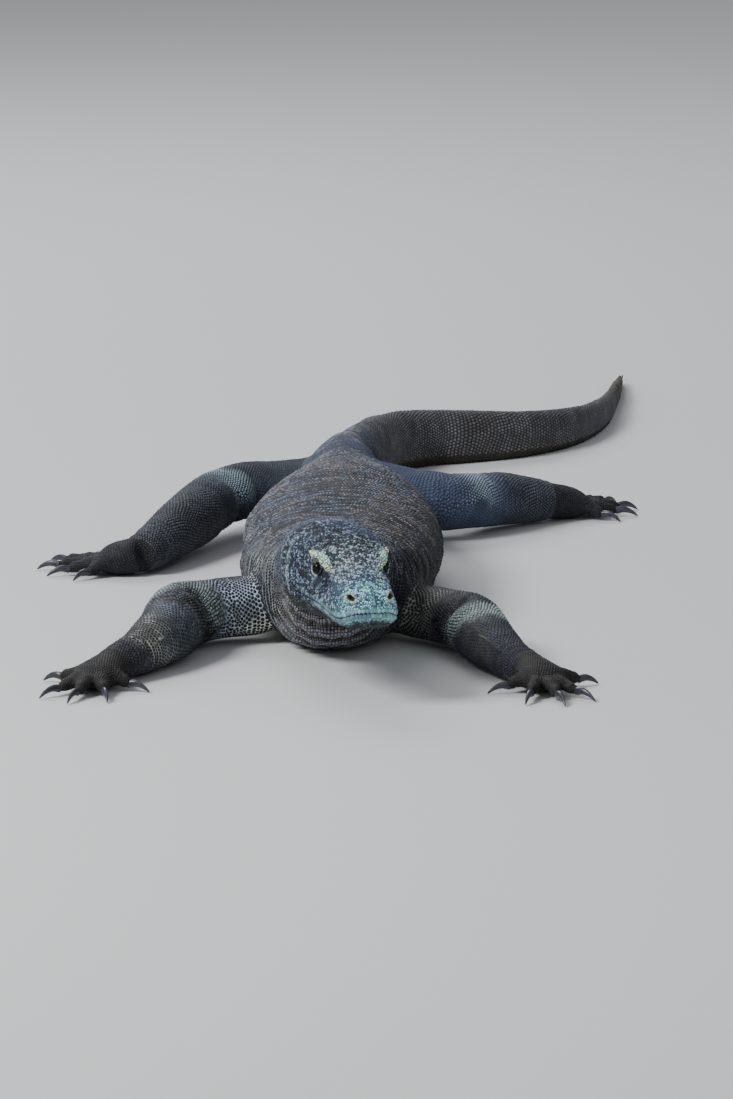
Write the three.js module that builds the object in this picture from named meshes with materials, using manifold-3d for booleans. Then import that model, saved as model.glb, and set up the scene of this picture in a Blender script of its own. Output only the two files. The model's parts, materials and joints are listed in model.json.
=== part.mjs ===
// A komodo dragon at life size, lying on its belly with its head raised a little and turned to its left.
// Millimetres, +Z up, the floor at z = 0. The snout points to -Y, and +X is the animal's left side.
// The origin is on the floor under the middle of the trunk.
import * as THREE from "three";
import { mergeVertices } from "three/addons/utils/BufferGeometryUtils.js";
import Module from "manifold-3d";

const wasm = await Module();
wasm.setup();

// ---------- driving dimensions ----------
const GAP = 0.35; // the slit between neighbouring pieces
const WELD = 1e-3; // points nearer to each other than this are one
const TENSION = 0.5; // of every smooth curve through stations
const RINGS_PER_STATION = 2; // rings of a loft from one station to the next
const BODY_SIDES = 24; // sides of a section of the head, trunk or tail
const LIMB_SIDES = 12;
const DIGIT_SIDES = 7;
const CLAW_SIDES = 6;
const BALL_SIDES = 8; // of the eyes and brows
const PIT_SIDES = 6; // of the nostrils and ears
const BALL_ROWS = 6;

const SNOUT_TIP = [37, -768, 116];
const HEAD_YAW = 14.7; // degrees to the animal's left
const HEAD_PITCH = 4.5; // degrees down

// Sections of the head: distance behind the snout tip, half width, height above the axis, depth below it.
const HEAD_SECTIONS = [
  [0, 24, 11, 24],
  [14, 32, 16, 29.5],
  [32, 36, 22, 34],
  [56, 38, 27, 36],
  [80, 41, 33, 39],
  [104, 46, 39, 42],
  [132, 51, 43, 46],
  [162, 54, 46, 50],
  [192, 54, 47, 55],
];

// Sections of the neck, trunk and tail: x, y, z of the axis, half width, height above it, depth below it.
const BODY_SECTIONS = [
  [-12, -536, 126, 57, 46, 62],
  [-10, -484, 104, 66, 49, 82],
  [-8, -430, 86, 80, 54, 86],
  [-5, -360, 74, 100, 60, 78],
  [-2, -280, 68, 114, 67, 72],
  [0, -180, 64, 119, 73, 68],
  [2, -70, 64, 117, 74, 68],
  [4, 40, 63, 100, 70, 67],
  [4, 140, 62, 78, 62, 66],
  [2, 220, 61, 62, 56, 65],
  [0, 300, 59, 54, 55, 63],
  [1, 380, 56, 44, 51, 60],
  [10, 470, 51, 34, 46, 55],
  [26, 570, 47, 28, 42, 51],
  [54, 670, 43, 26, 38, 47],
  [100, 734, 39, 24, 36, 43],
  [166, 764, 36, 22, 33, 40],
  [238, 806, 32, 19, 29, 36],
  [302, 888, 27, 16, 25, 31],
  [344, 1010, 22, 12.5, 20, 25],
  [366, 1160, 17, 9, 15, 20],
  [380, 1300, 12, 6, 9.5, 15],
  [390, 1420, 7, 3, 4.5, 9],
];

// Where the long loft is parted: a piece ends at its place on the station count, and the next one starts there.
const BODY_PIECES = [
  ["head", 8.2],
  ["neck", 11.6],
  ["chest", 14],
  ["belly", 17],
  ["pelvis", 19.4],
  ["tail_base", 22],
  ["tail_middle", 25],
  ["tail_bend", 28],
  ["tail_tip", 31],
];

// Limbs: x, y, z of the axis, half width across it, half height.
const ARM_RIGHT = [
  [-40, -362, 62, 38, 36],
  [-94, -384, 43, 38, 36],
  [-146, -400, 38, 36, 34],
  [-184, -450, 39, 36, 39],
  [-200, -516, 34, 34, 34],
  [-226, -582, 27, 27, 27],
  [-256, -626, 21, 23, 19],
];
const ARM_LEFT = [
  [36, -370, 52, 38, 36],
  [80, -392, 38, 36, 32],
  [118, -418, 34, 33, 31],
  [150, -470, 35, 34, 34],
  [171, -546, 31, 30, 29],
  [192, -606, 24, 25, 23],
  [212, -640, 20, 23, 19],
];
const LEG_RIGHT = [
  [-24, 270, 58, 44, 40],
  [-76, 280, 54, 42, 35],
  [-122, 270, 53, 38, 34],
  [-156, 218, 50, 36, 35],
  [-190, 128, 42, 33, 35],
  [-222, 40, 32, 28, 30],
  [-244, -4, 25, 24, 23],
];
const LEG_LEFT = [
  [24, 262, 58, 44, 40],
  [72, 244, 51, 44, 37],
  [120, 234, 46, 40, 35],
  [162, 260, 42, 37, 34],
  [198, 298, 37, 34, 33],
  [230, 326, 31, 30, 30],
  [254, 343, 27, 27, 26],
];
const LIMB_BREAK = 3.1; // the elbow's or knee's place on a limb's station count

// A digit arches out from the palm: share of its length, height of its axis, half width, half height.
const DIGIT_ROWS = [
  [0, 14, 10, 10],
  [0.35, 15, 9.5, 9.5],
  [0.65, 12, 8.5, 8.5],
  [1, 8.5, 6.5, 6.5],
];
const DIGIT_ROOT = 0.45; // a digit starts this share of the palm's half width from its middle
// A claw goes on from the digit's tip, over a crest and down to the floor.
const CLAW_ROWS = [
  [0, 8.5, 3.4, 4.6],
  [0.35, 10, 3, 4],
  [0.7, 7, 2, 2.6],
  [1, 1.2, 0.7, 0.8],
];
const CLAW_SINK = 5; // a claw starts this far inside its digit
// The palm from the wrist to the knuckles: shares of its half width and half height.
const PALM_WRIST = { width: 0.7, height: 0.95 };
const PALM_MIDDLE = { width: 0.92, axis: 0.95 };
const PALM_KNUCKLES = { width: 0.8, axis: 12, height: 13 };

// A paw's digits from the inner one out: degrees from its heading, reach from the palm's middle, length of claw.
const HAND_DIGITS = [
  { spread: 92, length: 42, claw: 27 },
  { spread: 34, length: 56, claw: 30 },
  { spread: 4, length: 64, claw: 31 },
  { spread: -24, length: 60, claw: 30 },
  { spread: -98, length: 52, claw: 27 },
];
const FOOT_DIGITS = [
  { spread: 60, length: 52, claw: 26 },
  { spread: 30, length: 66, claw: 28 },
  { spread: 4, length: 80, claw: 29 },
  { spread: -20, length: 88, claw: 28 },
  { spread: -52, length: 78, claw: 24 },
];
const HAND = { digits: HAND_DIGITS, palm: [30, 17] }; // palm: half width, half height
const FOOT = { digits: FOOT_DIGITS, palm: [32, 21] };
// Where a paw lies: middle of the palm, heading in degrees from -Y towards +X, side of the body, limb above it.
const PAWS = [
  { name: "hand_right", at: [-272, -658], heading: -24, side: -1, limb: ARM_RIGHT, ...HAND },
  { name: "hand_left", at: [226, -670], heading: 20, side: 1, limb: ARM_LEFT, ...HAND },
  { name: "foot_right", at: [-270, 2], heading: -108, side: -1, limb: LEG_RIGHT, ...FOOT },
  { name: "foot_left", at: [284, 368], heading: 124, side: 1, limb: LEG_LEFT, ...FOOT },
];

// Powers of a section's curve: 2 is a plain ellipse, and a larger one is boxier.
const HEAD_POWER = 3;
const JAW_POWER = 3.6;
const TRUNK_POWER = 2.05;
const HIP_POWER = 1.65;
const BELLY_POWER = 2.4;

// From the head's boxy section to the trunk's round one: places on the station count.
const ROUNDER_FROM = 6;
const ROUNDER_TO = 10;
// The hips and the root of the tail rise to a ridge: from and to full height, and back again.
const RIDGE = [16, 18.5, 21, 23.5];
const BODY_CAPS = [1.15, 1]; // stations over which the snout and the tail's tip are rounded off
const PALM_CAP = 0.8; // and the same at the ends of a palm, a digit and a claw
const DIGIT_CAP = 0.5;
const CLAW_CAP = 0.25;

// On the head: distance from its middle, behind the snout tip and above its axis.
const EYE = { at: [35.8, 98, 19.5], radius: 8.5 };
const BROW = { at: [35, 98, 33], radii: [8, 24, 8.5], tilt: 20, turn: 18 }; // it falls and closes in to the front
const NOSTRIL = { at: [22.5, 11.5, 8.5], radii: [4.5, 5, 4.5] };
const EAR = { at: [55, 172, 4], radii: [5, 5, 11] };

// The mouth's line in side view, from the lips at the front to its corner: behind the tip, above the axis.
const MOUTH_LINE = [
  [-8, -7],
  [4, -8.5],
  [20, -17],
  [45, -18],
  [80, -15.5],
  [112, -16],
  [138, -18],
];
const MOUTH_STEPS = 2; // straight steps of the mouth's curve from one point to the next
const JAW_BACK = 158; // the lower jaw ends this far behind the snout tip
const JAW_REACH = 80; // how far the cut for it goes down and to each side, past the head's surface

const SKIN = new THREE.MeshStandardMaterial({ color: 0x3b3a38, roughness: 0.75, metalness: 0 });
const HEAD_SKIN = new THREE.MeshStandardMaterial({ color: 0x5d6560, roughness: 0.7, metalness: 0 });
const HORN = new THREE.MeshStandardMaterial({ color: 0x2a2b2e, roughness: 0.35, metalness: 0 });
const CORNEA = new THREE.MeshStandardMaterial({ color: 0x1c120b, roughness: 0.1, metalness: 0 });

// ---------- lofts ----------
const radians = THREE.MathUtils.degToRad;
const clamp = THREE.MathUtils.clamp;

// A smooth value of each column of a table at a place on its station count.
function columnCurve(rows, first) {
  const points = rows.map((row) => new THREE.Vector3(row[first], row[first + 1], row[first + 2]));
  return new THREE.CatmullRomCurve3(points, false, "catmullrom", TENSION);
}

// A loft: an axis through the stations, and at each place a section with half width, height above and depth below.
class Loft {
  constructor(stations, { topPower = () => 2, bottomPower = () => 2, cap = [0, 0] } = {}) {
    this.last = stations.length - 1;
    this.axis = columnCurve(stations, 0);
    this.perStation = this.axis.getLength() / this.last;
    this.sizes = columnCurve(
      stations.map(([, , , width, above, below = above]) => [width, above, below]),
      0,
    );
    this.topPower = topPower;
    this.bottomPower = bottomPower;
    this.cap = cap;
  }

  // Rounds an end off over its cap's length, as a quarter ellipse does.
  rounding(place) {
    const [start, end] = this.cap;
    const a = start > 0 ? clamp(place / start, 0, 1) : 1;
    const b = end > 0 ? clamp((this.last - place) / end, 0, 1) : 1;
    return Math.sqrt(a * (2 - a) * b * (2 - b));
  }

  // The axis's point and directions at a place, going straight on past its ends.
  frame(place) {
    const t = clamp(place / this.last, 0, 1);
    const ahead = this.axis.getTangent(t);
    const centre = this.axis.getPoint(t).addScaledVector(ahead, (place - t * this.last) * this.perStation);
    const side = new THREE.Vector3().crossVectors(ahead, new THREE.Vector3(0, 0, 1)).normalize();
    const up = new THREE.Vector3().crossVectors(side, ahead);
    return { centre, ahead, side, up };
  }

  // The point of the surface at a place on the axis and an angle round it, grown outwards by a margin.
  point(place, angle, grown = 0) {
    const { centre, side, up } = this.frame(place);
    const round = this.rounding(place);
    const size = this.sizes.getPoint(clamp(place / this.last, 0, 1)).multiplyScalar(round).addScalar(grown);
    const [c, s] = [Math.cos(angle), Math.sin(angle)];
    const power = 2 / (s >= 0 ? this.topPower(place) : this.bottomPower(place));
    const across = Math.sign(c) * Math.abs(c) ** power * size.x;
    const rise = Math.sign(s) * Math.abs(s) ** power * (s >= 0 ? size.y : size.z);
    return centre.addScaledVector(side, across).addScaledVector(up, rise);
  }

  // The closed piece between two places, with flat ends: a sphere's grid, whose poles are the ends' middles.
  piece(from, to, sides, { grown = 0, gapStart = 0, gapEnd = 0, rings = RINGS_PER_STATION } = {}) {
    const start = from + gapStart / this.perStation;
    const end = to - gapEnd / this.perStation;
    const rows = Math.max(3, Math.round((to - from) * rings)) + 2;
    const geometry = new THREE.SphereGeometry(1, sides, rows);
    const position = geometry.getAttribute("position");
    for (let i = 0; i < position.count; i++) {
      const row = Math.floor(i / (sides + 1));
      const angle = (2 * Math.PI * (i % (sides + 1))) / sides;
      const place = start + ((end - start) * clamp(row - 1, 0, rows - 2)) / (rows - 2);
      const onAxis = row === 0 || row === rows;
      const at = onAxis ? this.frame(place).centre : this.point(place, angle, grown);
      position.setXYZ(i, at.x, at.y, at.z);
    }
    return geometry;
  }

  // All of it as one closed piece.
  whole(sides, options) {
    return this.piece(0, this.last, sides, options);
  }
}

// ---------- joining and cutting ----------
function solid(geometry) {
  const bare = geometry.clone();
  for (const name of ["normal", "uv"]) bare.deleteAttribute(name);
  const merged = mergeVertices(bare, WELD);
  const made = new wasm.Manifold(
    new wasm.Mesh({
      numProp: 3,
      vertProperties: new Float32Array(merged.getAttribute("position").array),
      triVerts: new Uint32Array(merged.index.array),
    }),
  );
  if (made.volume() < 0) throw new Error("a shape is inside out");
  return made;
}

function geometryOf(made) {
  const { vertProperties, triVerts } = made.getMesh();
  const geometry = new THREE.BufferGeometry();
  geometry.setAttribute("position", new THREE.BufferAttribute(new Float32Array(vertProperties), 3));
  geometry.setIndex(new THREE.BufferAttribute(new Uint32Array(triVerts), 1));
  return geometry;
}

// A turned ellipsoid.
const ball = (x, y, z, radii, turn, sides = BALL_SIDES) =>
  solid(
    new THREE.SphereGeometry(1, sides, BALL_ROWS)
      .scale(...radii)
      .applyQuaternion(turn)
      .translate(x, y, z),
  );

// A loft parted at its breaks into pieces with a gap between them, and all of it grown by the gap as one solid.
function parted(loft, breaks, sides) {
  const spans = breaks.map((to, i) => [i ? breaks[i - 1] : 0, to]);
  const gap = (inside) => (inside ? GAP / 2 : 0);
  const pieces = spans.map(([from, to]) =>
    solid(loft.piece(from, to, sides, { gapStart: gap(from > 0), gapEnd: gap(to < loft.last) })),
  );
  const grown = spans.map(([from, to]) =>
    solid(loft.piece(from, to, sides, { grown: GAP, gapStart: -GAP, gapEnd: -GAP })),
  );
  return { pieces, grown: grown.reduce((joined, next) => joined.add(next)) };
}

const FLOOR_BLOCK = [4000, 4000, 400];
const everythingBelowFloor = solid(new THREE.BoxGeometry(...FLOOR_BLOCK).translate(0, 0, -FLOOR_BLOCK[2] / 2));

const model = new THREE.Group();
function addMesh(name, made, material) {
  const mesh = new THREE.Mesh(geometryOf(made.subtract(everythingBelowFloor)), material);
  mesh.name = name;
  model.add(mesh);
}

// ---------- head, trunk and tail ----------
const headTurn = new THREE.Quaternion().setFromEuler(
  new THREE.Euler(radians(HEAD_PITCH), 0, radians(HEAD_YAW), "ZXY"),
);
// A point of the head: distance to the animal's left, behind the snout tip, and above the axis.
const inHead = (left, back, up) =>
  new THREE.Vector3(left, back, up).applyQuaternion(headTurn).add(new THREE.Vector3(...SNOUT_TIP));

const bodyStations = [
  ...HEAD_SECTIONS.map(([back, ...sizes]) => [...inHead(0, back, 0).toArray(), ...sizes]),
  ...BODY_SECTIONS,
];
// The power of a section's upper half: boxy along the head, and rounder from the neck's start back.
const { lerp, smoothstep } = THREE.MathUtils;
const ridge = (place) => smoothstep(place, RIDGE[0], RIDGE[1]) * (1 - smoothstep(place, RIDGE[2], RIDGE[3]));
const topPower = (place) =>
  lerp(lerp(HEAD_POWER, TRUNK_POWER, smoothstep(place, ROUNDER_FROM, ROUNDER_TO)), HIP_POWER, ridge(place));
const bottomPower = (place) => lerp(JAW_POWER, BELLY_POWER, smoothstep(place, ROUNDER_FROM, ROUNDER_TO));
const body = new Loft(bodyStations, { topPower, bottomPower, cap: BODY_CAPS });
const { pieces: bodyPieces, grown: bodyGrown } = parted(body, BODY_PIECES.map(([, to]) => to), BODY_SIDES);

// The slab that holds the lower jaw: in side view it runs back along the mouth, raised by a lift, and round below.
function jawRegion(lift) {
  const [lips, ...line] = MOUTH_LINE.map(([back, up]) => new THREE.Vector2(back, up + lift));
  const outline = new THREE.Shape();
  outline.moveTo(lips.x, lips.y);
  outline.splineThru(line);
  outline.lineTo(JAW_BACK + lift, -JAW_REACH);
  outline.lineTo(lips.x, -JAW_REACH);
  const slab = new THREE.ExtrudeGeometry(outline, {
    depth: 2 * JAW_REACH,
    bevelEnabled: false,
    curveSegments: MOUTH_STEPS,
  });
  // The outline's x runs back along the head and its y up, and the depth runs across the head.
  const across = new THREE.Matrix4().makeBasis(
    new THREE.Vector3(0, 1, 0),
    new THREE.Vector3(0, 0, 1),
    new THREE.Vector3(1, 0, 0),
  );
  slab.translate(0, 0, -JAW_REACH).applyMatrix4(across);
  return solid(slab.applyQuaternion(headTurn).translate(...SNOUT_TIP));
}

const bothSides = [
  ["left", 1],
  ["right", -1],
];
const headBall = (side, [out, back, up], radii, tilt = 0, turn = 0, sides = BALL_SIDES) => {
  const turned = new THREE.Euler(radians(tilt), 0, radians(-side * turn), "ZXY");
  const way = headTurn.clone().multiply(new THREE.Quaternion().setFromEuler(turned));
  return ball(...inHead(side * out, back, up).toArray(), radii, way, sides);
};
const eyeBall = (side, grown = 0) => headBall(side, EYE.at, Array(3).fill(EYE.radius + grown));

let skull = bodyPieces[0];
for (const [, side] of bothSides) {
  skull = skull.add(headBall(side, BROW.at, BROW.radii, BROW.tilt, BROW.turn));
  skull = skull.subtract(eyeBall(side, GAP));
  skull = skull.subtract(headBall(side, NOSTRIL.at, NOSTRIL.radii, 0, 0, PIT_SIDES));
  skull = skull.subtract(headBall(side, EAR.at, EAR.radii, 0, 0, PIT_SIDES));
}
addMesh("head", skull.subtract(jawRegion(0)), HEAD_SKIN);
addMesh("lower_jaw", skull.intersect(jawRegion(-GAP)), HEAD_SKIN);
for (const [name, side] of bothSides) addMesh("eye_" + name, eyeBall(side), CORNEA);
BODY_PIECES.slice(1).forEach(([name], i) => addMesh(name, bodyPieces[i + 1], SKIN));

// ---------- limbs ----------
const LIMBS = [
  ["upper_arm_right", "forearm_right", ARM_RIGHT],
  ["upper_arm_left", "forearm_left", ARM_LEFT],
  ["thigh_right", "shin_right", LEG_RIGHT],
  ["thigh_left", "shin_left", LEG_LEFT],
];
const limbGrown = new Map();
for (const [upperName, lowerName, stations] of LIMBS) {
  const limb = new Loft(stations);
  const { pieces, grown } = parted(limb, [LIMB_BREAK, limb.last], LIMB_SIDES);
  limbGrown.set(stations, grown);
  [upperName, lowerName].forEach((name, i) => addMesh(name, pieces[i].subtract(bodyGrown), SKIN));
}

// ---------- hands and feet ----------
// Stations from a start point along a direction on the floor, from rows that begin with a share of the length.
const stationsAlong = (start, direction, length, rows) =>
  rows.map(([share, ...sizes]) => {
    const at = start.clone().addScaledVector(direction, share * length);
    return [at.x, at.y, ...sizes];
  });

for (const { name, at, heading, side, palm, digits, limb } of PAWS) {
  const centre = new THREE.Vector3(at[0], at[1], 0);
  const toward = (degrees) => new THREE.Vector3(Math.sin(radians(degrees)), -Math.cos(radians(degrees)), 0);
  const [palmWidth, palmHeight] = palm;
  const knuckles = centre.clone().addScaledVector(toward(heading), palmWidth);
  const [wristX, wristY, wristZ, , wristHeight] = limb.at(-1);
  const palmRows = [
    [wristX, wristY, wristZ, palmWidth * PALM_WRIST.width, wristHeight * PALM_WRIST.height],
    [centre.x, centre.y, palmHeight * PALM_MIDDLE.axis, palmWidth * PALM_MIDDLE.width, palmHeight],
    [knuckles.x, knuckles.y, PALM_KNUCKLES.axis, palmWidth * PALM_KNUCKLES.width, PALM_KNUCKLES.height],
  ];
  let paw = solid(new Loft(palmRows, { cap: [0, PALM_CAP] }).whole(LIMB_SIDES));
  const claws = [];
  digits.forEach(({ spread, length, claw }, index) => {
    const direction = toward(heading - side * spread);
    const rootAt = palmWidth * DIGIT_ROOT;
    const root = centre.clone().addScaledVector(direction, rootAt);
    const tip = centre.clone().addScaledVector(direction, length - CLAW_SINK);
    const digitStations = stationsAlong(root, direction, length - rootAt, DIGIT_ROWS);
    const digit = new Loft(digitStations, { cap: [0, DIGIT_CAP] });
    const horn = new Loft(stationsAlong(tip, direction, claw, CLAW_ROWS), { cap: [0, CLAW_CAP] });
    const clawPiece = (grown) => solid(horn.whole(CLAW_SIDES, { rings: 1, grown }));
    paw = paw.add(solid(digit.whole(DIGIT_SIDES, { rings: 1 }))).subtract(clawPiece(GAP));
    claws.push(["claw_" + name + "_" + (index + 1), clawPiece(0)]);
  });
  addMesh(name, paw.subtract(limbGrown.get(limb)).subtract(bodyGrown), SKIN);
  for (const [clawName, horn] of claws) addMesh(clawName, horn, HORN);
}

export default model;
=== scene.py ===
"""A life-size komodo dragon, lying on its belly with its head raised: one skin, solid scales, claws and eyes.

Every shape is worked out with numpy. Lengths in the tables are millimetres, and the meshes are in metres.
"""

import json
import math

import bpy
import numpy as np
from bpy.props import FloatProperty, FloatVectorProperty, PointerProperty
from bpy.types import Operator, Panel, PropertyGroup
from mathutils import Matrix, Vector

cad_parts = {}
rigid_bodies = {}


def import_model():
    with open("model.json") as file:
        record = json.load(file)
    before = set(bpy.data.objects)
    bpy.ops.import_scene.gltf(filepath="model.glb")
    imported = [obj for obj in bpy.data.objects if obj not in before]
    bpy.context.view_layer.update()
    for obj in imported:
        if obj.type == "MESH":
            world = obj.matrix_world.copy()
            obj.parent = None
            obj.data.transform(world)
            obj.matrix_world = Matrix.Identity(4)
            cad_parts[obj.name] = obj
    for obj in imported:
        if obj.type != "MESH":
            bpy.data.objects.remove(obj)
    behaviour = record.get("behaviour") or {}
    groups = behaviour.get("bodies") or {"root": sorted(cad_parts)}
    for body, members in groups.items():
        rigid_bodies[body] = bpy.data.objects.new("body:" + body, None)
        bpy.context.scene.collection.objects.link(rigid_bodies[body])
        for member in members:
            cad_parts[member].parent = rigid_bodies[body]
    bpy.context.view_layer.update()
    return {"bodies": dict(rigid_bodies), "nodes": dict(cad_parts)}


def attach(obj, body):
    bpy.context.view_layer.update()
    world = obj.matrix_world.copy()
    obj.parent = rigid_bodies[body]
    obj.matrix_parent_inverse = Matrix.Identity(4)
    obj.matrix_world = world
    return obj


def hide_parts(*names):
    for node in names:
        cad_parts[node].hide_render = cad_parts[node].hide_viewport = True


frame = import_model()

bl_info = {
    "name": "Komodo dragon",
    "version": (1, 0, 0),
    "blender": (4, 5, 0),
    "location": "3D View > Sidebar > Dragon",
    "description": "Builds the skin, scales, claws and eyes of a life-size komodo dragon",
    "category": "Object",
}

MM = 0.001
SEED = 20

# ---------- the animal's form, the same tables as its solids ----------
SNOUT_TIP = np.array([37.0, -768.0, 116.0])
HEAD_YAW = math.radians(14.7)
HEAD_PITCH = math.radians(4.5)

# Sections of the head: distance behind the snout tip, half width, height above the axis, depth below it.
HEAD_SECTIONS = [
    [0, 24, 11, 24],
    [14, 32, 16, 29.5],
    [32, 36, 22, 34],
    [56, 38, 27, 36],
    [80, 41, 33, 39],
    [104, 46, 39, 42],
    [132, 51, 43, 46],
    [162, 54, 46, 50],
    [192, 54, 47, 55],
]
# Sections of the neck, trunk and tail: x, y, z of the axis, half width, height above it, depth below it.
BODY_SECTIONS = [
    [-12, -536, 126, 57, 46, 62],
    [-10, -484, 104, 66, 49, 82],
    [-8, -430, 86, 80, 54, 86],
    [-5, -360, 74, 100, 60, 78],
    [-2, -280, 68, 114, 67, 72],
    [0, -180, 64, 119, 73, 68],
    [2, -70, 64, 117, 74, 68],
    [4, 40, 63, 100, 70, 67],
    [4, 140, 62, 78, 62, 66],
    [2, 220, 61, 62, 56, 65],
    [0, 300, 59, 54, 55, 63],
    [1, 380, 56, 44, 51, 60],
    [10, 470, 51, 34, 46, 55],
    [26, 570, 47, 28, 42, 51],
    [54, 670, 43, 26, 38, 47],
    [100, 734, 39, 24, 36, 43],
    [166, 764, 36, 22, 33, 40],
    [238, 806, 32, 19, 29, 36],
    [302, 888, 27, 16, 25, 31],
    [344, 1010, 22, 12.5, 20, 25],
    [366, 1160, 17, 9, 15, 20],
    [380, 1300, 12, 6, 9.5, 15],
    [390, 1420, 7, 3, 4.5, 9],
]
# Limbs: x, y, z of the axis, half width across it, half height.
LIMBS = {
    "arm_right": [
        [-40, -362, 62, 38, 36],
        [-94, -384, 43, 38, 36],
        [-146, -400, 38, 36, 34],
        [-184, -450, 39, 36, 39],
        [-200, -516, 34, 34, 34],
        [-226, -582, 27, 27, 27],
        [-256, -626, 21, 23, 19],
    ],
    "arm_left": [
        [36, -370, 52, 38, 36],
        [80, -392, 38, 36, 32],
        [118, -418, 34, 33, 31],
        [150, -470, 35, 34, 34],
        [171, -546, 31, 30, 29],
        [192, -606, 24, 25, 23],
        [212, -640, 20, 23, 19],
    ],
    "leg_right": [
        [-24, 270, 58, 44, 40],
        [-76, 280, 54, 42, 35],
        [-122, 270, 53, 38, 34],
        [-156, 218, 50, 36, 35],
        [-190, 128, 42, 33, 35],
        [-222, 40, 32, 28, 30],
        [-244, -4, 25, 24, 23],
    ],
    "leg_left": [
        [24, 262, 58, 44, 40],
        [72, 244, 51, 44, 37],
        [120, 234, 46, 40, 35],
        [162, 260, 42, 37, 34],
        [198, 298, 37, 34, 33],
        [230, 326, 31, 30, 30],
        [254, 343, 27, 27, 26],
    ],
}
# A digit arches out from the palm: share of its length, height of its axis, half width, half height.
DIGIT_ROWS = [[0, 14, 10, 10], [0.35, 15, 9.5, 9.5], [0.65, 12, 8.5, 8.5], [1, 8.5, 6.5, 6.5]]
DIGIT_ROOT = 0.45
# A claw goes on from the digit's tip, over a crest and down to the floor.
CLAW_ROWS = [[0, 8.5, 3.4, 4.6], [0.35, 10, 3, 4], [0.7, 7, 2, 2.6], [1, 1.2, 0.7, 0.8]]
CLAW_SINK = 5
PALM_WRIST = (0.7, 0.95)
PALM_MIDDLE = (0.92, 0.95)
PALM_KNUCKLES = (0.8, 12, 13)
# A paw's digits from the inner one out: degrees from its heading, reach from the palm's middle, claw length.
HAND_DIGITS = [(92, 42, 27), (34, 56, 30), (4, 64, 31), (-24, 60, 30), (-98, 52, 27)]
FOOT_DIGITS = [(60, 52, 26), (30, 66, 28), (4, 80, 29), (-20, 88, 28), (-52, 78, 24)]
HAND_PALM = (30, 17)
FOOT_PALM = (32, 21)
# Where a paw lies: the palm's middle, heading in degrees from -Y towards +X, side of the body, limb above.
PAWS = {
    "hand_right": ((-272, -658), -24, -1, "arm_right", HAND_PALM, HAND_DIGITS),
    "hand_left": ((226, -670), 20, 1, "arm_left", HAND_PALM, HAND_DIGITS),
    "foot_right": ((-270, 2), -108, -1, "leg_right", FOOT_PALM, FOOT_DIGITS),
    "foot_left": ((284, 368), 124, 1, "leg_left", FOOT_PALM, FOOT_DIGITS),
}

HEAD_POWER = 3.0
JAW_POWER = 3.6
TRUNK_POWER = 2.05
HIP_POWER = 1.65
BELLY_POWER = 2.4
ROUNDER_FROM = 6.0
ROUNDER_TO = 10.0
RIDGE = (16.0, 18.5, 21.0, 23.5)
SHOULDER_ROWS = (10.5, 11.5, 14.5, 17.0)
BODY_CAPS = (1.15, 1.0)
PALM_CAP = 0.8
DIGIT_CAP = 0.5
CLAW_CAP = 0.25

# On the head: distance from its middle, behind the snout tip and above its axis.
EYE_AT = np.array([35.8, 98.0, 19.5])
EYE_RADIUS = 8.5
EYE_FACING = np.array([0.87, -0.41, 0.27])
BROW_AT = np.array([35.0, 98.0, 33.5])
BROW_RADII = np.array([8.0, 24.0, 9.0])
BROW_YAW = math.radians(-18)
BROW_PITCH = math.radians(20)
NOSTRIL_AT = np.array([22.5, 11.5, 8.5])
NOSTRIL_FACING = np.array([0.62, -0.70, 0.35])
EAR_AT = np.array([55.0, 172.0, 4.0])
# The mouth's line in side view, from the lips at the front to its corner: behind the tip, above the axis.
MOUTH_LINE = [[-8, -7], [4, -8.5], [20, -17], [45, -18], [80, -15.5], [112, -16], [138, -18]]
MOUTH_END = 138.0

# ---------- how fine the skin is ----------
COAT = 1.2  # the skin lies this far inside the solids, and the scales fill the space
VOXEL = 5.4
FLOOR_GAP = 0.4
# Points round the rings of each kind of tube, and the distance between rings.
BODY_MESH = (96, 5.0)
LIMB_MESH = (48, 5.0)
PALM_MESH = (40, 5.0)
DIGIT_MESH = (28, 2.5)
CLAW_MESH = (20, 1.2)
# Distance to the second nearest tube: rounding is full below the first value and gone above the second.
SEAM_BLEND = (6, 20)
SEAM_ROUNDS = 14
KEEP_SIZE = 1.03  # smoothing moves points back by this share of a step, so that the skin doesn't shrink
FINE_HEAD_END = 205.0
PAW_REACH = 105.0
PAW_COLOUR_REACH = 100.0

# ---------- scales ----------
SCALE_SIDES = 6
SCALE_POINTS = 2 * SCALE_SIDES + 1
SHOULDER_HEIGHT = 0.80
RIM_SINK = 0.3
SCALE_FLOOR_GAP = 0.25
FILL = 0.93  # a scale's share of the way to its neighbours' middle
STAGGER = 0.5  # every other ring is shifted by this share of a column
JITTER = 0.05
DRIFT = 2.1
DRIFT_SIZE = 34
RING_STEPS = 90
CROWDED = 0.62  # scales nearer to an earlier one than this share of a width are left out
GAP = 0.76  # a scattered scale fits where the next one is at least this share of a width away
GAP_SCATTER = 30000
LIMB_GAP_DEPTH = 6.0
WRIST_GAPS = 48.0
DIGIT_UNWRAP = 400.0
WRAP_REACH = 1.1
WRAP_ASIDE = 0.87
PAW_SCALE_HEIGHT = 0.9
PAW_SCALE = 3.2
HEAD_SCATTER = 90000
HEAD_SCALES_END = 196.0
HEAD_SCALES_OUT = 92.0
FACE_END = 92.0
HEAD_NODES = ["head", "lower_jaw"]
HEAD_DUST = 0.05
LIP_SPACING = 4.6
LIP_APART = 4.2
LIP_SCALE = 6.6
HEAD_PACKING = 0.74
HEAD_SCALE_WIDTH = 1.12
BAKE_PATCH = 0.003
BAKE_EDGE = 0.01
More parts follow.
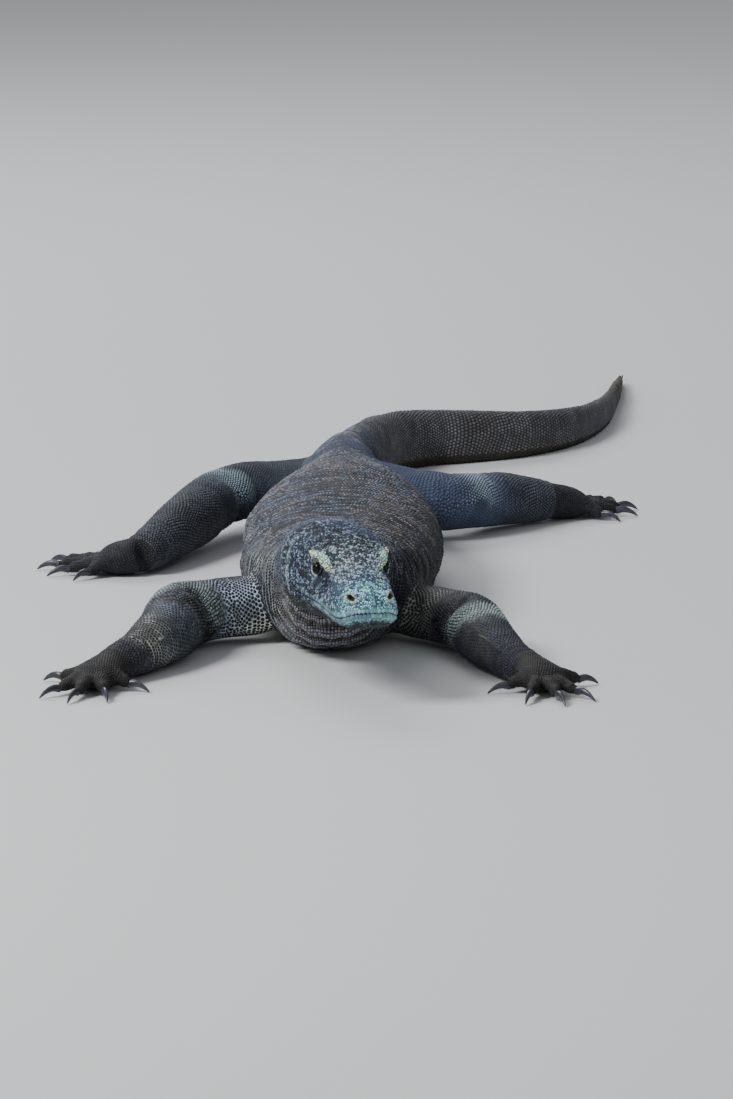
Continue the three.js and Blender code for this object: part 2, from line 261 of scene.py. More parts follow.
# Pieces of the body's scales: start and end on the station count, and the nodes they cover.
BODY_SCALES = {
    "scales_neck": (7.6, 11.6, ["neck"]),
    "scales_chest": (11.6, 14.0, ["chest"]),
    "scales_belly": (14.0, 17.0, ["belly"]),
    "scales_hips": (17.0, 20.5, ["pelvis", "tail_base"]),
    "scales_tail": (20.5, 30.92, ["tail_base", "tail_middle", "tail_bend", "tail_tip"]),
}
LIMB_NODES = {
    "arm_right": ["upper_arm_right", "forearm_right"],
    "arm_left": ["upper_arm_left", "forearm_left"],
    "leg_right": ["thigh_right", "shin_right"],
    "leg_left": ["thigh_left", "shin_left"],
}
ALL_FLESH = [name for name in frame["nodes"] if not name.startswith(("claw_", "eye_"))]

DUST_COLOUR = (0.20, 0.185, 0.165)

# ---------- the stage, in metres and degrees ----------
FLOOR_REACH = 14.0
SENSOR = 36.0
LENS = 236.4
CAMERA_AT = (0.030, -8.58, 1.705)
CAMERA_DOWN = 11.04


def srgb(red, green, blue):
    """A linear colour from display values of 0 to 255."""
    value = np.array([red, green, blue]) / 255
    return np.where(value <= 0.04045, value / 12.92, ((value + 0.055) / 1.055) ** 2.4)


def smoothstep(value, low, high):
    """0 below low, 1 above high, and an S-shaped rise between them: 3t^2 - 2t^3."""
    t = np.clip((value - low) / (high - low), 0, 1)
    return t * t * (3 - 2 * t)


def band(value, low, full, fading, gone):
    """1 between full and fading, 0 below low and above gone, and S-shaped between them."""
    return smoothstep(value, low, full) * (1 - smoothstep(value, fading, gone))


def hump(value, middle, width):
    """A bell curve: 1 at the middle, falling to 1/e one width away."""
    return np.exp(-(((value - middle) / width) ** 2))


def unit(vectors):
    """Vectors scaled to length 1."""
    length = np.linalg.norm(vectors, axis=-1, keepdims=True)
    return vectors / np.maximum(length, 1e-12)


def noise(points, size, seed):
    """Values of 0 to 1 that change smoothly over a size in mm.

    Random values at the corners of a grid of cubes are blended inside each by t^2 (3 - 2t) along every axis.
    """
    spot = points / (size * MM) + 31.7 * seed
    cell = np.floor(spot).astype(np.int64)
    t = spot - cell
    t = t * t * (3 - 2 * t)
    total = np.zeros(len(points))
    for corner in np.ndindex(2, 2, 2):
        x, y, z = (cell + corner).T
        mixed = (x * 73856093) ^ (y * 19349663) ^ (z * 83492791) ^ (seed * 6542989)
        mixed = ((mixed ^ (mixed >> 13)) * 1274126177) & 0x7FFFFFFF
        mixed = ((mixed ^ (mixed >> 15)) * 224682251) & 0x7FFFFFFF
        weight = np.prod(np.where(corner, t, 1 - t), axis=1)
        total += weight * ((mixed >> 8) & 0xFFFF) / 65535
    return total


def closed_grid(rings, sides):
    """Quads between rings of points, and triangles from the first and last ring to two poles after them."""
    start = np.arange(rings - 1)[:, None] * sides
    this = np.arange(sides)[None, :]
    after = (this + 1) % sides
    quads = np.stack([start + this, start + sides + this, start + sides + after, start + after], -1)
    first = np.stack([np.full(sides, rings * sides), this[0], after[0]], -1)
    end = (rings - 1) * sides
    final = np.stack([np.full(sides, rings * sides + 1), end + after[0], end + this[0]], -1)
    return quads.reshape(-1, 4), np.vstack([first, final])


# ---------- tubes on a smooth axis ----------
def spline(table, place):
    """Rows of a table at places on its station count, and their slopes: a Catmull-Rom spline, ends mirrored.

    Between rows b and c it is (2b - 2c + m0 + m1) t^3 + (-3b + 3c - 2 m0 - m1) t^2 + m0 t + b, where m0 and
    m1 are half the way from the row before b to c, and from b to the row after c.
    """
    rows = np.vstack([2 * table[0] - table[1], table, 2 * table[-1] - table[-2]])
    first = np.clip(np.floor(place), 0, len(table) - 2).astype(int)
    t = (place - first)[..., None]
    a, b, c, d = (rows[first + k] for k in range(4))
    m0 = (c - a) / 2
    m1 = (d - b) / 2
    cubic = 2 * b - 2 * c + m0 + m1
    square = -3 * b + 3 * c - 2 * m0 - m1
    return ((cubic * t + square) * t + m0) * t + b, (3 * cubic * t + 2 * square) * t + m0


class Tube:
    """A loft: an axis through stations, and superellipses round it with a width, a height and a depth."""

    def __init__(self, stations, top_power=None, bottom_power=None, cap=(0.0, 0.0)):
        table = np.array([row if len(row) == 6 else [*row, row[4]] for row in stations], float)
        self.table = table * MM
        self.last = len(table) - 1
        self.top_power = top_power or (lambda place: np.full(np.shape(place), 2.0))
        self.bottom_power = bottom_power or (lambda place: np.full(np.shape(place), 2.0))
        self.cap = cap
        fine = np.linspace(0, self.last, self.last * 8 + 1)
        axis = spline(self.table[:, :3], fine)[0]
        self.fine_places = fine
        self.fine_axis = axis
        self.fine_lengths = np.r_[0, np.cumsum(np.linalg.norm(np.diff(axis, axis=0), axis=1))]

    def frame(self, place):
        """The axis's point at a place, the directions ahead, aside and up there, and the axis's speed."""
        centre, slope = spline(self.table[:, :3], np.clip(place, 0, self.last))
        speed = np.linalg.norm(slope, axis=-1)
        ahead = slope / speed[..., None]
        side = unit(np.cross(ahead, [0.0, 0.0, 1.0]))
        return centre, ahead, side, np.cross(side, ahead), speed

    def size(self, place, grown=0.0):
        """Half width, height and depth at a place, rounded off to the ends as a quarter ellipse is."""
        start, end = self.cap
        a = np.clip(place / start, 0, 1) if start else np.ones(np.shape(place))
        b = np.clip((self.last - place) / end, 0, 1) if end else np.ones(np.shape(place))
        rounding = np.sqrt(a * (2 - a) * b * (2 - b))
        full = spline(self.table[:, 3:], np.clip(place, 0, self.last))[0]
        return np.maximum(full * rounding[..., None] + grown * MM, 0.02 * MM)

    def section(self, place, above, grown=0.0):
        """Half width, half height and power of sections, on the side above or below the axis."""
        size = self.size(place, grown)
        high = np.where(above, size[..., 1], size[..., 2])
        return size[..., 0], high, np.where(above, self.top_power(place), self.bottom_power(place))

    def surface(self, place, angle, grown=0.0):
        """Points: centre + side sign(cos) |cos|^(2/p) width + up sign(sin) |sin|^(2/p) (height or depth)."""
        place, angle = np.broadcast_arrays(place, angle)
        centre, _, side, up, _ = self.frame(place)
        c = np.cos(angle)
        s = np.sin(angle)
        wide, high, power = self.section(place, s >= 0, grown)
        across = np.sign(c) * np.abs(c) ** (2 / power) * wide
        rise = np.sign(s) * np.abs(s) ** (2 / power) * high
        return centre + side * across[..., None] + up * rise[..., None]

    def locate(self, points):
        """Places of points along the axis, and their distances aside and up from it.

        It starts from the nearest of many axis points, and moves to where the offset is square to the axis.
        """
        gap = (self.fine_axis**2).sum(1) - 2 * points @ self.fine_axis.T
        place = self.fine_places[np.argmin(gap, axis=1)]
        for _ in range(3):
            centre, ahead, side, up, speed = self.frame(place)
            place = np.clip(place + ((points - centre) * ahead).sum(1) / speed, 0, self.last)
        centre, ahead, side, up, _ = self.frame(place)
        off = points - centre
        return place, (off * side).sum(1), (off * up).sum(1)

    def depth(self, points):
        """How far points lie outside the surface, measured from the axis, in metres."""
        place, across, rise = self.locate(points)
        wide, high, power = self.section(place, rise >= 0)
        share = (np.abs(across / wide) ** power + np.abs(rise / high) ** power) ** (1 / power)
        radial = np.hypot(across, rise)
        beyond = np.linalg.norm(points - self.frame(place)[0], axis=1) - radial
        return radial * (1 - 1 / np.maximum(share, 1e-6)) + beyond

    def angle(self, points):
        """Places of points along the axis and their angles round it, as the surface counts them."""
        place, across, rise = self.locate(points)
        wide, high, power = self.section(place, rise >= 0)
        c = np.sign(across) * np.abs(across / wide) ** (power / 2)
        s = np.sign(rise) * np.abs(rise / high) ** (power / 2)
        return place, np.arctan2(s, c)

    def along(self, place):
        """The axis's length from its start to a place, in metres."""
        return np.interp(place, self.fine_places, self.fine_lengths)

    def shell(self, sides, step, grown=-COAT):
        """The closed surface as points, quads and triangles: a grid of rings with a pole at each end."""
        rings = max(4, int(self.fine_lengths[-1] / (step * MM)))
        lengths = np.linspace(0, 1, rings)
        lengths = (lengths + 0.5 - 0.5 * np.cos(math.pi * lengths)) / 2
        place = np.interp(lengths * self.fine_lengths[-1], self.fine_lengths, self.fine_places)
        angle = np.linspace(0, 2 * math.pi, sides, endpoint=False)
        grid = self.surface(place[:, None], angle[None, :], grown).reshape(-1, 3)
        poles = self.frame(np.array([0.0, float(self.last)]))[0]
        return np.vstack([grid, poles]), *closed_grid(rings, sides)


def turned(yaw, pitch):
    """A turn as a matrix: pitch about X, then yaw about Z."""
    cy, sy = math.cos(yaw), math.sin(yaw)
    cp, sp = math.cos(pitch), math.sin(pitch)
    return np.array([[cy, -sy, 0], [sy, cy, 0], [0, 0, 1]]) @ np.array([[1, 0, 0], [0, cp, -sp], [0, sp, cp]])


HEAD_TURN = turned(HEAD_YAW, HEAD_PITCH)
BROW_AXES = turned(BROW_YAW, BROW_PITCH)


def from_head(local):
    """Frame coordinates in metres of head coordinates in mm."""
    return (np.asarray(local) @ HEAD_TURN.T + SNOUT_TIP) * MM


def to_head(points):
    """Head coordinates in mm (left, back, up) of frame coordinates in metres."""
    return (points / MM - SNOUT_TIP) @ HEAD_TURN


def toward(degrees):
    """The direction on the floor at an angle from -Y towards +X."""
    return np.array([math.sin(math.radians(degrees)), -math.cos(math.radians(degrees))])


def stations_along(start, direction, length, rows):
    """Stations from a start on the floor, from rows that begin with a share of the length."""
    return [[*(start + direction * row[0] * length), *row[1:]] for row in rows]


def body_tube():
    """The head, neck, trunk and tail as one tube, boxy along the head and rounder behind it."""
    head = [[*(from_head([0, back, 0]) / MM), *sizes] for back, *sizes in HEAD_SECTIONS]

    def top_power(place):
        rounder = HEAD_POWER + (TRUNK_POWER - HEAD_POWER) * smoothstep(place, ROUNDER_FROM, ROUNDER_TO)
        return rounder + (HIP_POWER - rounder) * band(place, *RIDGE)

    def bottom_power(place):
        return JAW_POWER + (BELLY_POWER - JAW_POWER) * smoothstep(place, ROUNDER_FROM, ROUNDER_TO)

    return Tube(head + BODY_SECTIONS, top_power, bottom_power, BODY_CAPS)


def paw_tubes(name):
    """A paw's tubes: its palm, and a digit and a claw for each of its digits."""
    at, heading, side, limb, (width, height), digits = PAWS[name]
    centre = np.array(at, float)
    wrist = LIMBS[limb][-1]
    knuckles = centre + toward(heading) * width
    palm = [
        [*wrist[:3], width * PALM_WRIST[0], wrist[4] * PALM_WRIST[1]],
        [*centre, height * PALM_MIDDLE[1], width * PALM_MIDDLE[0], height],
        [*knuckles, PALM_KNUCKLES[1], width * PALM_KNUCKLES[0], PALM_KNUCKLES[2]],
    ]
    fingers = []
    claws = []
    for spread, length, claw in digits:
        direction = toward(heading - side * spread)
        root = width * DIGIT_ROOT
        start = centre + direction * root
        tip = centre + direction * (length - CLAW_SINK)
        fingers.append(Tube(stations_along(start, direction, length - root, DIGIT_ROWS), cap=(0, DIGIT_CAP)))
        claws.append(Tube(stations_along(tip, direction, claw, CLAW_ROWS), cap=(0, CLAW_CAP)))
    return Tube(palm, cap=(0, PALM_CAP)), fingers, claws


BODY = body_tube()
LIMB_TUBES = {name: Tube(stations) for name, stations in LIMBS.items()}
PAW_TUBES = {name: paw_tubes(name) for name in PAWS}


# ---------- meshes ----------
def mesh_of(name, points, *face_sets):
    """A smoothly shaded mesh from points and one array of faces for each count of corners."""
    corners = np.concatenate([faces.ravel() for faces in face_sets]).astype(np.int32)
    totals = np.concatenate([np.full(len(faces), faces.shape[1]) for faces in face_sets])
    starts = np.r_[0, np.cumsum(totals)[:-1]].astype(np.int32)
    mesh = bpy.data.meshes.new(name)
    mesh.vertices.add(len(points))
    mesh.vertices.foreach_set("co", points.astype(np.float32).ravel())
    mesh.loops.add(len(corners))
    mesh.loops.foreach_set("vertex_index", corners)
    mesh.polygons.add(len(totals))
    mesh.polygons.foreach_set("loop_start", starts)
    mesh.polygons.foreach_set("use_smooth", np.ones(len(totals), bool))
    mesh.update(calc_edges=True)
    return mesh


def object_of(name, mesh):
    """An object at the origin that holds a mesh."""
    made = bpy.data.objects.new(name, mesh)
    bpy.context.scene.collection.objects.link(made)
    return made


def joined(parts):
    """Several (points, quads, triangles) as one."""
    offsets = np.cumsum([0] + [len(points) for points, _, _ in parts[:-1]])
    return (
        np.vstack([points for points, _, _ in parts]),
        np.vstack([quads + offset for (_, quads, _), offset in zip(parts, offsets)]),
        np.vstack([triangles + offset for (_, _, triangles), offset in zip(parts, offsets)]),
    )


def evaluated(made):
    """A new mesh with an object's modifiers applied."""
    bpy.context.view_layer.update()
    depsgraph = bpy.context.evaluated_depsgraph_get()
    return bpy.data.meshes.new_from_object(made.evaluated_get(depsgraph))


def points_of(mesh):
    """A mesh's vertex coordinates as an array."""
    flat = np.zeros(len(mesh.vertices) * 3, np.float32)
    mesh.vertices.foreach_get("co", flat)
    return flat.reshape(-1, 3).astype(float)


def corners_of(mesh):
    """The vertex at each corner of a mesh's faces, as one row."""
    corners = np.zeros(len(mesh.loops), np.int32)
    mesh.loops.foreach_get("vertex_index", corners)
    return corners


def discard(made):
    """Removes an object and its mesh."""
    mesh = made.data
    bpy.data.objects.remove(made)
    bpy.data.meshes.remove(mesh)


def remeshed(points, quads, triangles):
    """One closed shell round overlapping shells: a voxel remesh, its quads cut along the shorter diagonal."""
    rough = object_of("rough", mesh_of("rough", points, quads, triangles))
    modifier = rough.modifiers.new("voxels", "REMESH")
    modifier.mode = "VOXEL"
    modifier.voxel_size = VOXEL * MM
    mesh = evaluated(rough)
    discard(rough)
    found = points_of(mesh)
    faces = corners_of(mesh).reshape(-1, 4).astype(np.int64)
    bpy.data.meshes.remove(mesh)
    diagonals = [np.linalg.norm(found[faces[:, k]] - found[faces[:, k + 2]], axis=1) for k in range(2)]
    first_is_short = (diagonals[0] <= diagonals[1])[:, None]
    one = np.where(first_is_short, faces[:, [0, 1, 2]], faces[:, [0, 1, 3]])
    two = np.where(first_is_short, faces[:, [0, 2, 3]], faces[:, [1, 2, 3]])
    return found, np.vstack([one, two])


def edges_of(triangles):
    """Each edge of a triangle mesh once."""
    sides = np.vstack([triangles[:, [0, 1]], triangles[:, [1, 2]], triangles[:, [2, 0]]])
    return np.unique(np.sort(sides, axis=1), axis=0)


def normals_of(points, triangles):
    """Vertex normals: the sum of the triangles' area vectors round each vertex, scaled to length 1."""
    a, b, c = (points[triangles[:, k]] for k in range(3))
    area = np.cross(b - a, c - a)
    total = np.zeros((len(points), 3))
    for axis in range(3):
        for corner in range(3):
            total[:, axis] += np.bincount(triangles[:, corner], area[:, axis], len(points))
    return unit(total)


def relaxed(points, edges, weight, rounds, keep=0.0):
    """Each point moves a weighted share of the way to its neighbours' mean, and back by the share kept."""
    a, b = edges.T
    count = np.bincount(edges.ravel(), minlength=len(points))[:, None]
    for _ in range(rounds):
        for share in (0.5, -0.5 * keep):
            if share:
                total = np.stack(
                    [
                        np.bincount(a, points[b, k], len(points)) + np.bincount(b, points[a, k], len(points))
                        for k in range(3)
                    ],
                    1,
                )
                points = points + (total / count - points) * share * weight[:, None]
    return points


def refined(points, triangles, chosen):
    """Chosen triangles are split into four at their edges' middles, and neighbours into two or three."""
    sides = np.sort(np.stack([triangles, np.roll(triangles, -1, axis=1)], -1), axis=-1)
    keys = sides[..., 0] * len(points) + sides[..., 1]
    edges, which = np.unique(keys, return_inverse=True)
    which = which.reshape(-1, 3)
    split = np.zeros(len(edges), bool)
    split[which[chosen]] = True
    middle = np.full(len(edges), -1)
    middle[split] = len(points) + np.arange(split.sum())
    ends = np.stack([edges[split] // len(points), edges[split] % len(points)], 1)
    mids = middle[which]
    cut = mids >= 0
    count = cut.sum(1)

    def corners_from(rows, first):
        order = (first[:, None] + np.arange(3)) % 3
        corner = np.take_along_axis(triangles[rows], order, 1).T
        return *corner, *np.take_along_axis(mids[rows], order, 1).T

    one = count == 1
    a1, b1, c1, p1, _, _ = corners_from(one, np.argmax(cut[one], axis=1))
    two = count == 2
    a2, b2, c2, _, q2, r2 = corners_from(two, np.argmin(cut[two], axis=1))
    three = count == 3
    a3, b3, c3, p3, q3, r3 = corners_from(three, np.zeros(three.sum(), int))
    corners = [
        (a1, p1, c1), (p1, b1, c1),
        (c2, r2, q2), (a2, b2, q2), (a2, q2, r2),
        (a3, p3, r3), (p3, b3, q3), (r3, q3, c3), (p3, q3, r3),
    ]
    new = [np.stack(corner, 1) for corner in corners]
    return np.vstack([points, points[ends].mean(1)]), np.vstack([triangles[count == 0], *new])


# ---------- the head's own features, in head coordinates ----------
def mouth_height(back):
    """The height of the mouth's line at distances behind the snout tip."""
    line, _ = spline(np.array(MOUTH_LINE, float), np.linspace(0, len(MOUTH_LINE) - 1, 61))
    return np.interp(back, line[:, 0], line[:, 1])


def mirrored(local):
    """Head coordinates with the distance from the middle counted outwards on both sides."""
    return np.c_[np.abs(local[:, 0]), local[:, 1:]]


def eye_angle(folded):
    """The angle at the eye's middle between its facing and a point, in degrees, and the point's distance."""
    off = folded - EYE_AT
    distance = np.linalg.norm(off, axis=1)
    cosine = (off @ unit(EYE_FACING)) / np.maximum(distance, 1e-9)
    return np.degrees(np.arccos(np.clip(cosine, -1, 1))), distance


def nostril_rim(folded):
    """1 on the nostril's edge, less inside it and more outside: an ellipse that rises outwards."""
    facing = unit(NOSTRIL_FACING)
    level = unit(np.cross(facing, [0, 0, 1.0])) * -1
    upward = np.cross(facing, level)
    tilt = math.radians(24)
    long_axis = level * math.cos(tilt) + upward * math.sin(tilt)
    short_axis = upward * math.cos(tilt) - level * math.sin(tilt)
    off = folded - NOSTRIL_AT
    away = np.abs(off @ facing) > 9
    return np.hypot(off @ long_axis / 5.6, off @ short_axis / 3.0) + 9 * away


def brow_push(folded, normals):
    """How far points go along their normals to reach the far side of the brow's ellipsoid, and 0 off it."""
    spot = (folded - BROW_AT) @ BROW_AXES / BROW_RADII
    way = normals @ BROW_AXES / BROW_RADII
    a = (way**2).sum(1)
    b = (spot * way).sum(1)
    inside = b**2 - a * ((spot**2).sum(1) - 1)
    return np.where(inside > 0, np.maximum((np.sqrt(np.maximum(inside, 0)) - b) / a, 0), 0)


def snout_shape(folded):
    """How far the snout's sides stand out, as a share of the distance from its middle.

    They are drawn in above the lips and flare out at them, and a waist lies in front of the eyes.
    """
    _, back, up = folded.T
    above = up - mouth_height(back)
    front = smoothstep(back, 2, 22)
    drawn = -0.13 * smoothstep(up, -8, 10) * (1 - smoothstep(back, 76, 92)) * front
    waist = -0.05 * hump(back, 72, 13) * smoothstep(up, -6, 6)
    flare = 0.075 * hump(above, -1, 9) * front * (1 - smoothstep(back, 95, 135))
    return drawn + waist + flare


def soft_head_forms(folded):
    """How far the head's skin stands out, in mm: bell curves for hollows, muscles and folds."""
    out, back, up = folded.T
    side = smoothstep(out, 20, 32)
    below = mouth_height(back) - up
    hollow = -2.6 * side * hump(back, 72, 11) * hump(up, 14, 9)
    cheek = 2.6 * side * hump(back, 156, 22) * hump(up, -8, 20)
    under_eye = 1.4 * side * hump(back, 92, 12) * hump(up, 2, 6)
    temple = -2.2 * side * hump(back, 136, 14) * hump(up, 22, 10)
    crown = -1.6 * hump(out, 0, 13) * hump(back, 96, 24) * smoothstep(up, 20, 30)
    rear = 1.6 * hump(out, 20, 11) * hump(back, 150, 24) * smoothstep(up, 20, 34)
    snout = 1.2 * hump(out, 0, 10) * hump(back, 36, 24) * smoothstep(up, 8, 16)
    jaw_edge = 1.3 * hump(below, 15, 5) * smoothstep(back, 40, 90)
    ridge = 1.8 * hump(up - 0.16 * back, 9, 4.0) * hump(back, 50, 24) * smoothstep(out, 16, 26)
    line = 1.3 * side * hump(back - 168 - 0.2 * up, 0, 3.5) * hump(up, 2, 26)
    return hollow + cheek + under_eye + temple + crown + rear + snout + jaw_edge + ridge + line


def sculpt_head(points, triangles):
    """The brows, lids, nostrils, lips and ears: the skin is pushed along its normal or away from a centre."""
    local = to_head(points)
    near = np.flatnonzero(local[:, 1] < 235)
    edges = edges_of(triangles)
    fade = 1 - smoothstep(local[:, 1], 190, 230)
    local[:, 0] *= 1 + snout_shape(mirrored(local)) * fade
    normals = normals_of(from_head(local), triangles) @ HEAD_TURN
    local[near] += normals[near] * (soft_head_forms(mirrored(local[near])) * fade[near])[:, None]

    fold = np.c_[np.sign(local[:, 0]), np.ones(len(local)), np.ones(len(local))]
    folded = local * fold
    push = brow_push(folded[near], (normals * fold)[near])
    local[near] += normals[near] * np.minimum(push, 9)[:, None]
    around_brow = hump(np.linalg.norm((local * fold - BROW_AT) / [16, 34, 14], axis=1), 0, 1)
    local = relaxed(local, edges, np.where(around_brow > 0.2, around_brow, 0), 2)

    folded = local * fold
    angle, distance = eye_angle(folded)
    ring = band(angle, 52, 55, 62, 88)
    lid = np.clip(distance, 9.3, 10.4) + 0.8 * hump(angle, 59, 5) - 0.8 * hump(angle, 74, 7)
    radius = np.where(angle < 52, 6.3, distance + (lid - distance) * ring)
    eye_zone = (distance < 17) & (angle < 90)
    moved = EYE_AT + (folded - EYE_AT) * (radius / np.maximum(distance, 1e-9))[:, None]
    local = np.where(eye_zone[:, None], moved * fold, local)

    folded = local * fold
    rim = nostril_rim(folded)
    pit = -5.5 * (1 - smoothstep(rim, 0.35, 1.05)) + 1.3 * hump(rim, 1.4, 0.34)
    local += (unit(NOSTRIL_FACING) * fold) * pit[:, None]

    folded = local * fold
    ear = np.linalg.norm((folded - EAR_AT) / [9, 3.6, 8.5], axis=1)
    ear_push = -4.0 * (1 - smoothstep(ear, 0.4, 1.1)) + 0.7 * hump(ear, 1.5, 0.4)
    local += np.array([1.0, 0, 0]) * fold * ear_push[:, None]

    out, back, up = (local * fold).T
    above = up - mouth_height(back)
    mouth = (1 - smoothstep(back, MOUTH_END - 8, MOUTH_END + 4)) * (back < MOUTH_END + 6)
    normals = normals_of(from_head(local), triangles) @ HEAD_TURN
    lips = 0.9 * hump(above, 3.2, 2.4) + 0.7 * hump(above, -3.4, 2.2)
    groove = -1.9 * hump(above, 0, 0.9)
    local += normals * ((lips * (np.abs(above) < 14) + groove) * mouth)[:, None]
    local[:, 2] += np.where(np.abs(above) < 0.35, -above, 0) * mouth
    return np.where(fade[:, None] > 0, from_head(local), points)


def throat_rolls(points, length):
    """Waves across the throat, from -1 in its folds to 1 on its rolls."""
    return np.sin(2 * math.pi * (length / 23 + 1.3 * noise(points, 85, 13) + 0.3 * noise(points, 30, 15)))


def shoulder_rows(points, length):
    """Waves across the back, from -1 in the furrows between rows of scales to 1 on the rows."""
    return np.sin(2 * math.pi * (length / 12 + 2.2 * noise(points, 60, 3) + 0.9 * noise(points, 24, 14)))


def body_folds(points):
    """How far folds and loose skin stand out on the neck, trunk and tail, in mm."""
    place, angle = BODY.angle(points)
    length = BODY.along(place) / MM
    wander = noise(points, 55, 3)
    low = 1 - smoothstep(np.sin(angle), -0.35, 0.45)
    neck = hump(place, 9.3, 1.5)
    flank = hump(np.sin(angle), -0.1, 0.4) * smoothstep(place, 11, 13) * (1 - smoothstep(place, 18.5, 20))
    waves = np.sin(2 * math.pi * (length / 15 + 1.7 * wander + 0.5 * np.cos(angle) ** 2))
    long_waves = np.sin(2 * math.pi * (angle * 3.2 + 1.3 * noise(points, 40, 5) + length / 160))
    rolls = throat_rolls(points, length)
    folds = neck * (1.1 * low * long_waves + 0.8 * waves * (1 - 0.6 * low))
    folds += 3.0 * hump(place, 10.7, 1.5) * rolls * (1 - smoothstep(np.sin(angle), 0.2, 0.7))
    folds += flank * (1.0 * waves + 1.8 * np.sin(angle * 13 + 4 * wander))
    nape = 1.3 * hump(place, 10.6, 1.0) * (1 - low) * waves
    between = hump(place, 13.1, 0.8) * hump(angle, math.radians(86), 0.3)
    blade = hump(place, 13.2, 0.8) * hump(angle, math.radians(58), 0.3)
    rows = band(place, *SHOULDER_ROWS) * (1 - low)
    wrinkles = 3.5 * blade - 4.5 * between + 0.4 * rows * shoulder_rows(points, length)
    loose = 2.4 * (noise(points, 60, 8) - 0.5) + 1.2 * (noise(points, 24, 9) - 0.5)
    return folds + nape + wrinkles + loose * smoothstep(place, 7.5, 9.5)


def limb_folds(name, tube, points):
    """How far folds stand out on a limb, in mm: rings, muscles, and a crease inside the elbow or knee."""
    place, angle = tube.angle(points)
    length = tube.along(place) / MM
    inner = smoothstep(np.cos(angle) * (1 if name == "arm_left" else -1), -0.25, 0.5)
    bend = hump(place, 3.0, 0.9)
    wrist = hump(place, 5.6, 0.7)
    waves = np.sin(2 * math.pi * (length / 11 + 0.8 * noise(points, 35, 11)))
    crease = -6.0 * hump(place - 0.12 * np.sin(angle), 2.95, 0.16) * inner
    pleat = -2.4 * hump(place - 0.12 * np.sin(angle), 3.5, 0.1) * inner - 2.0 * hump(place, 2.3, 0.1) * inner
    forearm = 2.6 * hump(place, 3.9, 0.7) * (0.4 + 0.6 * inner)
    upper = 2.2 * hump(place, 1.9, 0.6)
    joint = 2.2 * hump(place, 3.0, 0.45) * smoothstep(np.sin(angle), -0.1, 0.8) * (1 - inner)
    if name.startswith("leg"):
        bend *= smoothstep(place, 2.6, 3.4)
    rings = (0.6 * bend + 0.7 * wrist + 0.15) * waves
    return rings + crease + pleat + forearm + upper + joint + 1.2 * (noise(points, 30, 12) - 0.5)


def nearest_tube(points, tubes):
    """Distances of points outside every tube, as rows, and the index of the tube whose surface is nearest."""
    distances = np.stack([tube.depth(points) for tube in tubes])
    return distances, np.argmin(np.abs(distances), axis=0)


def paw_distances(points):
    """Distances of points from the middle of each palm, as rows."""
    middles = [palm.frame(np.ones(1))[0] for palm, _, _ in PAW_TUBES.values()]
    return np.stack([np.linalg.norm(points - middle, axis=1) for middle in middles])


def detail(folded):
    """Less than 1 where the face needs fine triangles: round eyes, nostrils and ears, and along the mouth."""
    eye = eye_angle(folded)[1] / 21
    nose = nostril_rim(folded) / 3.4
    ear = np.linalg.norm((folded - EAR_AT) / [22, 10, 20], axis=1)
    beyond = np.maximum(folded[:, 1] - MOUTH_END, 0)
    mouth = np.hypot(folded[:, 2] - mouth_height(folded[:, 1]), beyond) / 4.4
    brow = np.linalg.norm((folded - BROW_AT) / [18, 36, 16], axis=1)
    return np.minimum.reduce([eye, nose, ear, mouth, brow])


def build_skin():
    """The whole skin: tubes joined by voxels, rounded where they meet, refined and sculpted."""
    parts = [BODY.shell(*BODY_MESH)]
    parts += [tube.shell(*LIMB_MESH) for tube in LIMB_TUBES.values()]
    for palm, fingers, _ in PAW_TUBES.values():
        parts.append(palm.shell(*PALM_MESH))
        parts += [finger.shell(*DIGIT_MESH) for finger in fingers]
    points, triangles = remeshed(*joined(parts))

    tubes = [BODY, *LIMB_TUBES.values()]
    distances, owner = nearest_tube(points, tubes)
    second = np.sort(np.abs(distances), axis=0)[1] / MM
    edges = edges_of(triangles)
    points = relaxed(points, edges, 1 - smoothstep(second, *SEAM_BLEND), SEAM_ROUNDS)
    points = relaxed(points, edges, np.ones(len(points)), 4, keep=KEEP_SIZE)

    normals = normals_of(points, triangles)
    folds = np.where(owner == 0, body_folds(points), 0)
    for index, (name, tube) in enumerate(LIMB_TUBES.items(), 1):
        mine = owner == index
        folds[mine] = limb_folds(name, tube, points[mine])
    settle = smoothstep(second, 4, 16) * smoothstep(points[:, 2] / MM, 3, 14)
    points = points + normals * (folds * settle * MM)[:, None]

    chosen = (to_head(points)[:, 1] < FINE_HEAD_END) | (paw_distances(points).min(0) < PAW_REACH * MM)
    points, triangles = refined(points, triangles, chosen[triangles].all(axis=1))
    for level in (1, 2):
        smooth = (to_head(points)[:, 1] < FINE_HEAD_END + 10).astype(float)
        points = relaxed(points, edges_of(triangles), smooth, 3, keep=KEEP_SIZE)
        chosen = detail(mirrored(to_head(points))) < 1 / level
        points, triangles = refined(points, triangles, chosen[triangles].all(axis=1))
    points = sculpt_head(points, triangles)
    points[:, 2] = np.maximum(points[:, 2], FLOOR_GAP * MM)
    return points, triangles


# ---------- markings ----------
NIGHT = srgb(18, 20, 26)
SOOT = srgb(34, 36, 42)
UMBER = srgb(84, 76, 68)
CLAY = srgb(138, 124, 114)
ASH = srgb(120, 130, 146)
SLATE = srgb(66, 74, 90)
COBALT = srgb(60, 72, 106)
INK = srgb(26, 31, 48)
BONE = srgb(236, 236, 208)
SAGE = srgb(186, 208, 196)
TEAL = srgb(128, 180, 188)
OLIVE = srgb(40, 40, 28)
RUST = srgb(128, 88, 52)


def blend_colours(first, second, share):
    """A share of the way from one colour, or row of colours, to another."""
    return first + (second - first) * np.asarray(share)[..., None]


